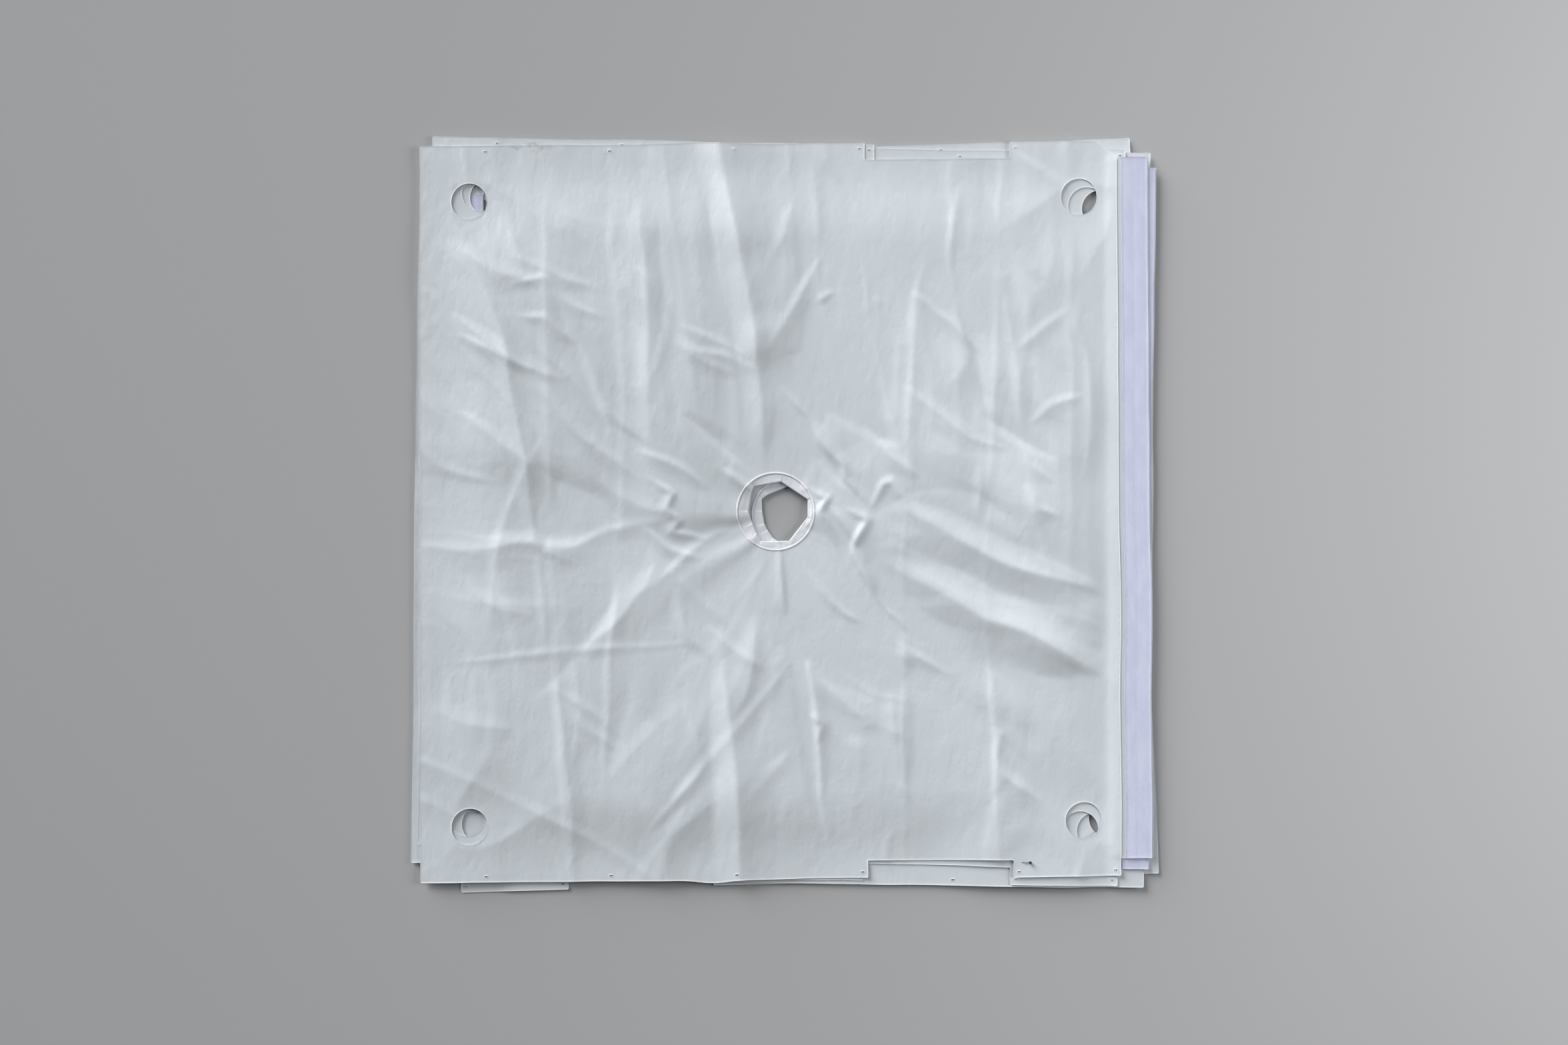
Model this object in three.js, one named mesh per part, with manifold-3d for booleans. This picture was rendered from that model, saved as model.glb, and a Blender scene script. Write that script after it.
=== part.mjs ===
// Two double filter-press cloths, stored flat, one on the other.
//
// Each double cloth is two square panels joined at the feed hole by a short sewn tube, the neck, which
// hangs over one filter plate: one panel covers each face and the neck passes through the plate. Stored
// flat, the neck is folded inwards between its two panels. Each panel has a feed hole, four corner ports,
// tie tabs with cable-tie slots along its top and bottom, and a side flap with hook-and-loop tape.
// The lower double cloth is turned over, so its tape faces down and its outline is the mirror image.
//
// Units are millimetres. +Z is up, the stack lies on z = 0, and its box is centred on the Z axis.

import * as THREE from "three";
import { mergeVertices } from "three/addons/utils/BufferGeometryUtils.js";
import Module from "manifold-3d";

const wasm = await Module();
wasm.setup();

// ---- Cloth, tape and the room between them ----
const clothThickness = 1.0;
const tapeThickness = 1.5;
const seamRingThickness = 0.8;
const looseGap = 0.3; // air between two pieces that lie on or against each other

// ---- Panel outline, measured from the centre of the feed hole ----
const freeSide = 590; // to the plain side edge
const flapSide = 570; // to the side edge that carries the flap
const halfHeight = 580; // to the bottom of the notches
const tabDepth = 28.5;
const longTab = 740; // from the plain side edge
const shortTab = 178; // up to the flap's side edge
const foldedCornerAlong = 34; // length of tab edge that is turned under at a folded corner
const foldedCornerDown = 28; // length of side edge that is turned under there

// ---- Holes ----
const feedHoleDiameter = 125;
const portDiameter = 60;
const portSpacingAcross = 1016;
const portSpacingUp = 1032;
const tieSlotLength = 5.5;
const tieSlotWidth = 1.6;
const tieSlotFromTabEdge = 9.5; // slot's centre line to the tab's outer edge
const tieSlotFromTabEnd = 9; // end slot's centre to the end of its tab
const tieSlotPitch = 207.5;
const longTabSlots = 4;

// ---- Side flap and its tape ----
const flapWidth = 52;
const tapeWidth = 43;
const tapeFromFlapEdge = 2; // bare cloth past the tape's outer edge

// ---- Neck and its seams ----
const neckLength = 36; // of the sewn tube, from panel to panel
const neckSides = 7; // creases of the folded tube
const seamRingWidth = 3.5;

// ---- Dressmaker's pin, stuck through the top panel's lower short tab ----
const pinHeadDiameter = 5;
const pinShaftDiameter = 0.7;
const pinLength = 25; // tip to the centre of the head
const pinSlope = 12.5; // degrees, head up
const pinTipLength = 3;
const pinSocketDepth = 1.8; // how far the shaft reaches past the head's centre
const pinFromTabEnd = 24.5; // head's centre to the inner end of the short tab
const pinBelowNotch = 2; // head's centre to the level of the notch edge

// ---- How each panel was laid: feed hole's place, turn in degrees ----
const laidPlaces = {
  lower_back: { across: 14.3, up: -3.9, turn: 1.8 },
  lower_front: { across: 14.3, up: -1.6, turn: -0.8 },
  upper_back: { across: -5, up: 5, turn: -0.9 },
  upper_front: { across: -10.5, up: 4.4, turn: 0.35 },
};

// ---- Smoothness ----
const feedHoleSteps = 48;
const portSteps = 32;
const ballSteps = 20;
const shaftSteps = 12;
const cutHeight = 40; // of the plugs and blocks that cut through a panel, a ring or a neck

// ---- Levels that follow from the sizes above ----
const foldedFlapTop = clothThickness + looseGap + clothThickness + looseGap + tapeThickness;
const lowerFrontLevel = foldedFlapTop + looseGap + tapeThickness + looseGap;
const upperBackLevel = lowerFrontLevel + clothThickness + looseGap + seamRingThickness + looseGap;
const upperFrontLevel = upperBackLevel + clothThickness + looseGap + tapeThickness + looseGap;
const lowerPairGap = lowerFrontLevel - clothThickness;
const upperPairGap = upperFrontLevel - upperBackLevel - clothThickness;

const clothFinish = new THREE.MeshStandardMaterial({ color: 0xe2e6ec, roughness: 0.45, metalness: 0 });
const seamFinish = new THREE.MeshStandardMaterial({ color: 0xeceff3, roughness: 0.6, metalness: 0 });
const tapeFinish = new THREE.MeshStandardMaterial({ color: 0xcfcfe8, roughness: 0.9, metalness: 0 });
const steelFinish = new THREE.MeshStandardMaterial({ color: 0x8d9096, roughness: 0.3, metalness: 0.9 });
const beadFinish = new THREE.MeshStandardMaterial({ color: 0x17191d, roughness: 0.25, metalness: 0 });

const radians = THREE.MathUtils.degToRad;

/** A closed outline through points given as [x, y]; hand -1 mirrors it. */
function outline(points, hand = 1) {
  return new THREE.Shape(points.map(([x, y]) => new THREE.Vector2(hand * x, y)));
}

/** A flat plate of that outline, with its underside at the given level. */
function plate(shape, level, thickness) {
  const geometry = new THREE.ExtrudeGeometry(shape, { depth: thickness, bevelEnabled: false });
  geometry.translate(0, 0, level);
  return geometry;
}

/** An upright round or many-sided plug, from one level up by the given height. */
function plug(x, y, diameter, level, height, sides) {
  const geometry = new THREE.CylinderGeometry(diameter / 2, diameter / 2, height, sides);
  geometry.rotateX(Math.PI / 2);
  geometry.translate(x, y, level + height / 2);
  return geometry;
}

/** An upright block that cuts a slot through a panel, given by the slot's centre and size. */
function slotBlock(x, y, length, width) {
  const geometry = new THREE.BoxGeometry(length, width, cutHeight);
  geometry.translate(x, y, clothThickness / 2);
  return geometry;
}

/** An upright plug that cuts a round hole through a panel. */
function holePlug(x, y, diameter, sides) {
  return plug(x, y, diameter, (clothThickness - cutHeight) / 2, cutHeight, sides);
}

/** A geometry as a manifold-3d solid. */
function solidOf(geometry) {
  const bare = geometry.clone();
  bare.deleteAttribute("normal");
  bare.deleteAttribute("uv");
  const merged = mergeVertices(bare, 1e-4);
  return new wasm.Manifold(
    new wasm.Mesh({
      numProp: 3,
      vertProperties: new Float32Array(merged.attributes.position.array),
      triVerts: new Uint32Array(merged.index.array),
    }),
  );
}

/** The first solids joined, less the second ones, as one closed body. */
function shaped(solids, cuts = []) {
  const whole = solids.map(solidOf).reduce((sum, next) => sum.add(next));
  const mesh = cuts.map(solidOf).reduce((rest, next) => rest.subtract(next), whole).getMesh();
  const geometry = new THREE.BufferGeometry();
  geometry.setAttribute("position", new THREE.BufferAttribute(new Float32Array(mesh.vertProperties), 3));
  geometry.setIndex(new THREE.BufferAttribute(new Uint32Array(mesh.triVerts), 1));
  geometry.computeVertexNormals();
  return geometry;
}

function piece(name, geometry, finish) {
  const mesh = new THREE.Mesh(geometry, finish);
  mesh.name = name;
  return mesh;
}

// ---- Panel ----

const tabEdge = halfHeight + tabDepth;
const longTabEnd = longTab - freeSide;
const shortTabStart = flapSide - shortTab;

/** Centres of the cable-tie slots along one tab edge, from the feed hole. */
function tieSlotPlaces() {
  const places = [];
  for (let index = 0; index < longTabSlots; index += 1) {
    places.push(longTabEnd - tieSlotFromTabEnd - index * tieSlotPitch);
  }
  places.push(shortTabStart + tieSlotFromTabEnd, flapSide - tieSlotFromTabEnd);
  return places;
}

/** The cut outline of a panel. A folded corner is the flap side's upper one. */
function panelOutline(hand, cornerFolded) {
  const corner = cornerFolded
    ? [
        [flapSide, tabEdge - foldedCornerDown],
        [flapSide - foldedCornerAlong, tabEdge],
      ]
    : [[flapSide, tabEdge]];
  return outline(
    [
      [-freeSide, -tabEdge],
      [longTabEnd, -tabEdge],
      [longTabEnd, -halfHeight],
      [shortTabStart, -halfHeight],
      [shortTabStart, -tabEdge],
      [flapSide, -tabEdge],
      ...corner,
      [shortTabStart, tabEdge],
      [shortTabStart, halfHeight],
      [longTabEnd, halfHeight],
      [longTabEnd, tabEdge],
      [-freeSide, tabEdge],
    ],
    hand,
  );
}

/** The plugs and blocks that cut a panel's feed hole, ports and tie slots. */
function panelCuts(hand, cornerFolded) {
  const cuts = [holePlug(0, 0, feedHoleDiameter, feedHoleSteps)];
  for (const across of [-1, 1]) {
    for (const up of [-1, 1]) {
      const [x, y] = [(across * portSpacingAcross) / 2, (up * portSpacingUp) / 2];
      cuts.push(holePlug(x, y, portDiameter, portSteps));
    }
  }
  for (const up of [-1, 1]) {
    for (const x of tieSlotPlaces()) {
      const lostInFold = cornerFolded && up > 0 && x > flapSide - foldedCornerAlong;
      if (lostInFold) continue;
      const y = up * (tabEdge - tieSlotFromTabEdge);
      cuts.push(slotBlock(hand * x, y, tieSlotLength, tieSlotWidth));
    }
  }
  return cuts;
}

/** The corner that is turned under a panel, with the bend that joins it to the panel. */
function foldedCorner(hand) {
  const start = new THREE.Vector2(flapSide - foldedCornerAlong, tabEdge);
  const end = new THREE.Vector2(flapSide, tabEdge - foldedCornerDown);
  const along = end.clone().sub(start).normalize();
  const inward = new THREE.Vector2(along.y, -along.x);
  const corner = new THREE.Vector2(flapSide, tabEdge);
  const reach = corner.clone().sub(start).dot(inward);
  const turned = corner.clone().addScaledVector(inward, -2 * reach);
  const bend = [
    start,
    end,
    end.clone().addScaledVector(inward, clothThickness),
    start.clone().addScaledVector(inward, clothThickness),
  ];
  const asPoints = (corners) => corners.map((point) => [point.x, point.y]);
  const lipLevel = -looseGap - clothThickness;
  return [
    plate(outline(asPoints([start, end, turned]), hand), lipLevel, clothThickness),
    plate(outline(asPoints(bend), hand), lipLevel, 2 * clothThickness + looseGap),
  ];
}

// ---- Pin, in the top panel's own frame: z = 0 is that panel's underside ----

const slope = radians(pinSlope);
const shaftRoom = pinShaftDiameter / 2 + looseGap;
const pinHead = new THREE.Vector3(
  shortTabStart + pinFromTabEnd,
  -halfHeight - pinBelowNotch,
  clothThickness + looseGap + pinHeadDiameter / 2,
);

/** The slit that the shaft passes through, cut straight down through the cloth. */
function pinSlit() {
  const rise = shaftRoom / Math.cos(slope);
  const near = (pinHead.z - clothThickness - rise) / Math.tan(slope);
  const far = (pinHead.z + rise) / Math.tan(slope);
  return slotBlock(pinHead.x - (near + far) / 2, pinHead.y, far - near, 2 * shaftRoom);
}

/** Lays a geometry that was turned about Y along the pin, with y = 0 at the head's centre. */
function alongPin(geometry) {
  geometry.rotateZ(-Math.PI / 2 + slope);
  geometry.rotateX(Math.PI / 2);
  geometry.translate(pinHead.x, pinHead.y, pinHead.z);
  return geometry;
}

function pinShaft() {
  const radius = pinShaftDiameter / 2;
  const profile = [
    [0, -pinLength],
    [radius, pinTipLength - pinLength],
    [radius, pinSocketDepth],
    [0, pinSocketDepth],
  ];
  const points = profile.map(([r, y]) => new THREE.Vector2(r, y));
  return alongPin(new THREE.LatheGeometry(points, shaftSteps));
}

/** The ball head, with the blind socket that holds the shaft. */
function pinBall() {
  const radius = pinHeadDiameter / 2;
  const socketTop = pinSocketDepth + looseGap / 2;
  const mouth = Math.asin(shaftRoom / radius);
  const points = [new THREE.Vector2(0, socketTop), new THREE.Vector2(shaftRoom, socketTop)];
  for (let step = 0; step < ballSteps; step += 1) {
    const angle = mouth + ((Math.PI - mouth) * step) / ballSteps;
    points.push(new THREE.Vector2(radius * Math.sin(angle), -radius * Math.cos(angle)));
  }
  points.push(new THREE.Vector2(0, radius));
  return alongPin(new THREE.LatheGeometry(points, ballSteps));
}

// ---- Flap, tape, seam ring and neck ----

/** A strip along the flap side, between the two distances from the feed hole. */
function sideStrip(hand, from, to) {
  const corners = [
    [from, -halfHeight],
    [to, -halfHeight],
    [to, halfHeight],
    [from, halfHeight],
  ];
  return outline(corners, hand);
}

/** A flap and its tape as they lie: past the side edge, or folded over onto the panel. */
function flapPieces(name, hand, manner) {
  const seam = flapSide + looseGap;
  const tapeOuter = flapWidth - tapeFromFlapEdge;
  const tapeInner = tapeOuter - tapeWidth;
  const lyingFlat = {
    flap: [seam, seam + flapWidth],
    tape: [seam + tapeInner, seam + tapeOuter],
    flapLevel: 0,
  };
  const foldedOver = {
    flap: [flapSide - flapWidth, flapSide],
    tape: [flapSide - tapeOuter, flapSide - tapeInner],
    flapLevel: clothThickness + looseGap,
  };
  const lie = manner === "folded_over" ? foldedOver : lyingFlat;
  const tapeLevel =
    manner === "tape_down"
      ? lie.flapLevel - looseGap - tapeThickness
      : lie.flapLevel + clothThickness + looseGap;
  const flap = plate(sideStrip(hand, ...lie.flap), lie.flapLevel, clothThickness);
  const tape = plate(sideStrip(hand, ...lie.tape), tapeLevel, tapeThickness);
  return [piece(`${name}_side_flap`, flap, clothFinish), piece(`${name}_loop_tape`, tape, tapeFinish)];
}

/** The raised seam that joins the neck to a panel, on that panel's upper face. */
function seamRing(name) {
  const level = clothThickness + looseGap;
  const outer = feedHoleDiameter + 2 * seamRingWidth;
  const ring = plug(0, 0, outer, level, seamRingThickness, feedHoleSteps);
  const cut = holePlug(0, 0, feedHoleDiameter, feedHoleSteps);
  return piece(`${name}_seam_ring`, shaped([ring], [cut]), seamFinish);
}

/** The neck, folded inwards and lying between the two panels that it joins. */
function neck(name, pairGap) {
  const level = clothThickness + looseGap;
  const outer = feedHoleDiameter - 2 * looseGap;
  const disc = plug(0, 0, outer, level, pairGap - 2 * looseGap, feedHoleSteps);
  const middleOfSide = (feedHoleDiameter - neckLength) / 2;
  const creaseDiameter = (2 * middleOfSide) / Math.cos(Math.PI / neckSides);
  const cut = holePlug(0, 0, creaseDiameter, neckSides);
  return piece(`${name}_neck`, shaped([disc], [cut]), seamFinish);
}

// ---- The four panels as laid, lowest first ----

/** One panel with what is sewn to it, in a group that lies at the panel's place. */
function laidPanel(name, level, { hand, manner, cornerFolded = false, pinned = false }) {
  const { across, up, turn } = laidPlaces[name];
  const group = new THREE.Group();
  group.position.set(across, up, level);
  group.rotation.z = radians(turn);
  const flat = plate(panelOutline(hand, cornerFolded), 0, clothThickness);
  const solids = cornerFolded ? [flat, ...foldedCorner(hand)] : [flat];
  const cuts = panelCuts(hand, cornerFolded);
  if (pinned) cuts.push(pinSlit());
  group.add(piece(`${name}_panel`, shaped(solids, cuts), clothFinish));
  group.add(...flapPieces(name, hand, manner));
  group.add(seamRing(name));
  return group;
}

const lowerBack = laidPanel("lower_back", 0, { hand: -1, manner: "folded_over" });
lowerBack.add(neck("lower", lowerPairGap));

const lowerFront = laidPanel("lower_front", lowerFrontLevel, { hand: -1, manner: "tape_down" });

const upperBack = laidPanel("upper_back", upperBackLevel, { hand: 1, manner: "tape_up" });
upperBack.add(neck("upper", upperPairGap));

const upperFront = laidPanel("upper_front", upperFrontLevel, {
  hand: 1,
  manner: "tape_up",
  cornerFolded: true,
  pinned: true,
});
upperFront.add(piece("pin_shaft", pinShaft(), steelFinish));
upperFront.add(piece("pin_head", pinBall(), beadFinish));

const stack = new THREE.Group();
stack.add(lowerBack, lowerFront, upperBack, upperFront);

// The stack's box is centred on the Z axis.
stack.updateMatrixWorld(true);
const box = new THREE.Box3().setFromObject(stack, true);
stack.position.x = -(box.min.x + box.max.x) / 2;
stack.position.y = -(box.min.y + box.max.y) / 2;

export default stack;
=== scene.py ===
"""Two double filter press cloths laid on each other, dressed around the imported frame.

Every size and place is in millimetres in the frame's own axes; metres appear only where a
mesh, a lamp or the camera is written.
"""

from __future__ import annotations

import logging
import math
from collections.abc import Callable
from dataclasses import dataclass, field, replace
from enum import Enum

import bmesh
import bpy
import numpy as np
from mathutils import Matrix, Vector, kdtree
from mathutils.geometry import delaunay_2d_cdt

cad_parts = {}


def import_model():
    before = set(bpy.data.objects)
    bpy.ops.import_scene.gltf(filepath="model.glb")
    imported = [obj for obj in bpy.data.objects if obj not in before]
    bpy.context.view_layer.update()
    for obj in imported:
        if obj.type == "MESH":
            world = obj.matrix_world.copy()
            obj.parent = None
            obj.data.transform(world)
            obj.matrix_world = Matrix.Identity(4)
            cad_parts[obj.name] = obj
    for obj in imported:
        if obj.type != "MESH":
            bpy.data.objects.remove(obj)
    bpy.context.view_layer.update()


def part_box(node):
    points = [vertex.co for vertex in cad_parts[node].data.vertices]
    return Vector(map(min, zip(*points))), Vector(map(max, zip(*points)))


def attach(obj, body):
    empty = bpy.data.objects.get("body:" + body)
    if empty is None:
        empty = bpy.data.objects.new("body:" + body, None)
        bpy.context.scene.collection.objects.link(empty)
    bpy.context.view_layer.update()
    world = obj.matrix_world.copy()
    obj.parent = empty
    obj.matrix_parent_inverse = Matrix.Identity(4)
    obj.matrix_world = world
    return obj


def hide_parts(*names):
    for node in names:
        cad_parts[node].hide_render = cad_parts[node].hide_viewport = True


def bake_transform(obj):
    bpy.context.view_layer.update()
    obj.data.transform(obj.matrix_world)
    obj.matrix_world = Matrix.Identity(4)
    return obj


log = logging.getLogger("filter_cloths")

Point = tuple[float, float]
Rise = Callable[[np.ndarray], np.ndarray]  # added height at flat places on a sheet
MM = 0.001
NOISE_CELLS = 64


class Hand(Enum):
    """The side of a panel that carries its flap, seen from above."""

    RIGHT = 1
    LEFT = -1


class FlapManner(Enum):
    """How a side flap lies."""

    TAPE_UP = "tape_up"
    TAPE_DOWN = "tape_down"
    FOLDED_OVER = "folded_over"


# ---- Noise and folds ------------------------------------------------------------------


def ease(share: np.ndarray) -> np.ndarray:
    """A smooth step from 0 to 1 with no jump in its bend."""
    t = np.clip(share, 0.0, 1.0)
    return t * t * t * (t * (t * 6.0 - 15.0) + 10.0)


def smooth_noise(
    x: np.ndarray, y: np.ndarray, wavelength: float, seed: int, stretch: float = 1.0
) -> np.ndarray:
    """Even noise from -1 to 1, the same on each run.

    Args:
        x: Places across, in millimetres.
        y: Places up, in millimetres.
        wavelength: Size of one bump across, in millimetres.
        seed: Picks the pattern.
        stretch: How many times longer the bumps are up than across.

    Returns:
        One value for each place.
    """
    table = np.random.default_rng(seed).uniform(-1.0, 1.0, (NOISE_CELLS, NOISE_CELLS))
    u = np.asarray(x) / wavelength + 11.37
    v = np.asarray(y) / (wavelength * stretch) + 7.91
    i, j = np.floor(u).astype(int), np.floor(v).astype(int)
    across, up = ease(u - i), ease(v - j)

    def corner(di: int, dj: int) -> np.ndarray:
        """The table's values at one corner of each place's cell."""
        return table[(i + di) % NOISE_CELLS, (j + dj) % NOISE_CELLS]

    low = corner(0, 0) * (1 - across) + corner(1, 0) * across
    high = corner(0, 1) * (1 - across) + corner(1, 1) * across
    return low * (1 - up) + high * up


@dataclass(frozen=True)
class Draw:
    """A part of the top panel in which the cloth's waves all run one way."""

    centre: Point
    reach: float
    run: float  # degrees from the frame's x axis
    strength: float = 1.0


DRAWS = (
    Draw((130, 400), 330, 93, 1.9),
    Draw((-150, 420), 200, 96, 1.4),
    Draw((-430, 330), 230, -46, 1.4),
    Draw((-470, 20), 190, -7, 0.7),
    Draw((-420, -380), 260, 97, 0.35),
    Draw((-150, -420), 200, 62, 0.45),
    Draw((20, -430), 150, 88, 0.7),
    Draw((300, -140), 250, -25, 1.6),
    Draw((360, 160), 170, -38, 1.5),
    Draw((300, -480), 210, 92, 1.3),
    Draw((520, 0), 120, 88),
)


DRAWN_STRETCH = 4.2  # how many times longer a drawn wave is than it is wide
OUTWARD_REACH = 210.0  # how far from the feed hole the waves run outwards


def drawn_noise(x: np.ndarray, y: np.ndarray, wavelength: float, seed: int) -> np.ndarray:
    """Waves that run the way each part of the top panel is drawn, and outwards round the feed hole.

    Args:
        x: Places across, in millimetres.
        y: Places up, in millimetres.
        wavelength: Size of one wave across its run, in millimetres.
        seed: Picks the pattern.

    Returns:
        One value for each place, about from -1 to 1.
    """
    total, squares = np.zeros_like(x), np.full_like(x, 1e-9)
    for index, draw in enumerate(DRAWS):
        turn = math.radians(draw.run)
        across = -x * math.sin(turn) + y * math.cos(turn)
        along = x * math.cos(turn) + y * math.sin(turn)
        weight = np.exp(-((x - draw.centre[0]) ** 2 + (y - draw.centre[1]) ** 2) / draw.reach**2)
        wave = smooth_noise(across, along, wavelength, seed + index, stretch=DRAWN_STRETCH)
        total += weight * draw.strength * wave
        squares += weight**2
    reach = np.hypot(x, y) + 1e-6
    circle = 2.4 * wavelength
    round_x, round_y = circle * x / reach + 0.11 * reach, circle * y / reach - 0.09 * reach
    outward = smooth_noise(round_x, round_y, wavelength, seed + 50)
    weight = 1.6 * np.exp(-((reach / OUTWARD_REACH) ** 2))
    return (total + weight * outward) / np.sqrt(squares + weight**2)


def curve_through(points: tuple[Point, ...], step: float) -> np.ndarray:
    """A smooth curve through given points, as close-set points of its own.

    Args:
        points: Two or more places, in millimetres.
        step: About how far apart the curve's points are.

    Returns:
        An array of places.
    """
    knots = np.array(points, float)
    if len(knots) == 2:
        count = max(2, int(np.linalg.norm(knots[1] - knots[0]) / step) + 1)
        return knots[0] + np.linspace(0, 1, count)[:, None] * (knots[1] - knots[0])
    ends = np.vstack([2 * knots[0] - knots[1], knots, 2 * knots[-1] - knots[-2]])
    places = []
    for a, b, c, d in zip(ends, ends[1:], ends[2:], ends[3:]):
        count = max(1, int(np.linalg.norm(c - b) / step))
        for index in range(count):
            t = index / count
            bend = (2 * a - 5 * b + 4 * c - d) * t**2 + (3 * b - a - 3 * c + d) * t**3
            places.append(0.5 * (2 * b + (c - a) * t + bend))
    places.append(knots[-1])
    return np.array(places)


@dataclass(frozen=True)
class Fold:
    """A fold pressed into the cloth: a ridge, or a groove where its rise is negative."""

    rise: float
    upper: float  # spread on the side towards the sheet's upper left
    lower: float  # spread on the other side
    points: tuple[Point, ...]
    crest: float = 1.6  # radius to which its crest is rounded
    fall: float = 1.55  # how quickly a flank flattens towards its foot

    STEP = 8.0
    TAPER = 0.42  # share of the length over which each end dies away
    UPPER_LEFT = np.array([-0.6, 0.8])

    def lift(self, x: np.ndarray, y: np.ndarray) -> np.ndarray:
        """How far the fold lifts the cloth.

        Args:
            x: Places across, in millimetres.
            y: Places up, in millimetres.

        Returns:
            The lift at each place, in millimetres.
        """
        line = curve_through(self.points, self.STEP)
        reach = max(self.upper, self.lower)
        low, high = line.min(0) - reach, line.max(0) + reach
        near = (x > low[0]) & (x < high[0]) & (y > low[1]) & (y < high[1])
        lift = np.zeros_like(x)
        if not near.any():
            return lift
        start, run = line[:-1], np.diff(line, axis=0)
        length = np.linalg.norm(run, axis=1)
        before = np.concatenate([[0.0], np.cumsum(length)])[:-1]
        normal = np.stack([-run[:, 1], run[:, 0]], 1) / length[:, None]
        flip = 1.0 if (normal * length[:, None]).sum(0) @ self.UPPER_LEFT > 0 else -1.0
        px, py = x[near], y[near]
        best = np.full(len(px), 1e9)
        side, along = np.zeros(len(px)), np.zeros(len(px))
        for index in range(len(run)):
            dx, dy = px - start[index, 0], py - start[index, 1]
            t = (dx * run[index, 0] + dy * run[index, 1]) / length[index] ** 2
            t = np.clip(t, 0.0, 1.0)
            gap = np.hypot(dx - t * run[index, 0], dy - t * run[index, 1])
            closer = gap < best
            best[closer] = gap[closer]
            across = dx * normal[index, 0] + dy * normal[index, 1]
            side[closer] = across[closer]
            along[closer] = (before[index] + t * length[index])[closer]
        share = along / length.sum()
        ends = np.sin(np.pi / 2 * np.clip(share / self.TAPER, 0, 1))
        ends = ends * np.sin(np.pi / 2 * np.clip((1 - share) / self.TAPER, 0, 1))
        spread = np.where(side * flip > 0, self.upper, self.lower) * (0.3 + 0.7 * ends)
        crest = self.crest / spread
        reached = np.clip(np.sqrt((best / spread) ** 2 + crest**2) - crest, 0.0, 1.0)
        uneven = 0.95 + 0.2 * smooth_noise(along, best * 0.0, 60.0, seed=len(line))
        lift[near] = self.rise * ends * uneven * (1.0 - reached) ** self.fall
        return lift

    def eased(self) -> Fold:
        """The fold as loose cloth takes it: one side crisp, one gentle, and drawn out at its ends."""
        knots = np.array(self.points)
        length = float(np.linalg.norm(np.diff(knots, axis=0), axis=1).sum())
        short = math.exp(-((length / 130.0) ** 2))
        tips = []
        for knot, beside in ((knots[0], knots[1]), (knots[-1], knots[-2])):
            out = (knot - beside) / np.linalg.norm(knot - beside)
            tips.append(tuple(knot + out * (8.0 + 0.22 * length) * (0.4 + short)))
        points = (tips[0], *self.points, tips[1])
        near = math.exp(-((float(np.linalg.norm(knots.mean(0))) / 180.0) ** 2))
        rise = self.rise * (0.9 + 0.75 * math.exp(-((self.rise / 3.0) ** 2))) * (1.0 + 0.3 * near)
        crisp, gentle = 1.5 - 0.5 * near, 2.9 - 1.5 * near
        upper, lower = (crisp, gentle) if self.rise > 0 else (gentle, crisp)
        least = 4.0 - 2.0 * near
        return Fold(rise, upper * self.upper + least, lower * self.lower + least, points)


# The big ridges, which hold the cloth beside them smooth.
RIDGES = (
    Fold(
        11.2, 41, 100,
        (
            (-128, 980), (-122, 860), (-116, 720), (-108, 620), (-97, 560), (-82, 480), (-66, 400),
            (-52, 320), (-41, 240), (-36, 150), (-36, 60), (-40, 20),
        ),
        crest=2.0,
        fall=1.3,
    ),
    Fold(
        8.0, 36, 60,
        (
            (180, 22), (200, 10), (244, -14), (288, -41), (332, -63), (376, -80), (420, -94),
            (520, -122),
        ),
        crest=3.0,
        fall=1.5,
    ),
    Fold(
        11.0, 46, 76,
        (
            (150, -70), (211, -102), (252, -123), (297, -149), (332, -171), (376, -185), (420, -204),
            (457, -226), (560, -280),
        ),
        crest=3.5,
        fall=1.4,
    ),
    Fold(
        8.4, 38, 60,
        ((-104, -210), (-96, -300), (-86, -380), (-78, -457), (-74, -540), (-76, -760)),
        crest=2.5,
        fall=1.4,
    ),
)

# Package folds: straight lines pressed in when the cloth was folded up for packing.
PACKAGE_FOLDS = (
    Fold(0.6, 6, 6, ((-398, 640), (-394, 300), (-386, 0), (-372, -300), (-352, -640))),
    Fold(0.6, 7, 9, ((-296, 640), (-283, 424), (-262, 180), (-282, -174), (-296, -420))),
    Fold(0.6, 6, 6, ((-204, 640), (-178, 440), (-160, 284), (-146, 190))),
    Fold(0.8, 5, 6, ((52, 660), (56, 414), (66, 300), (69, 163))),
    Fold(1.1, 6, 8, ((234, 660), (233, 453), (216, 370), (211, 240), (204, 140), (208, 79))),
    Fold(0.9, 5, 6, ((358, 660), (354, 424), (349, 300), (341, 112), (335, 60))),
    Fold(0.7, 7, 6, ((470, 460), (473, 200), (472, 17), (469, -160))),
    Fold(1.0, 5, 9, ((338, 10), (331, -90), (335, -215), (343, -300), (348, -400), (352, -620))),
    Fold(1.2, 8, 5, ((198, -40), (195, -110), (198, -222), (193, -360), (198, -470), (200, -640))),
    Fold(0.9, 6, 6, ((454, -180), (463, -225), (467, -300), (461, -380), (458, -640))),
)

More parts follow.
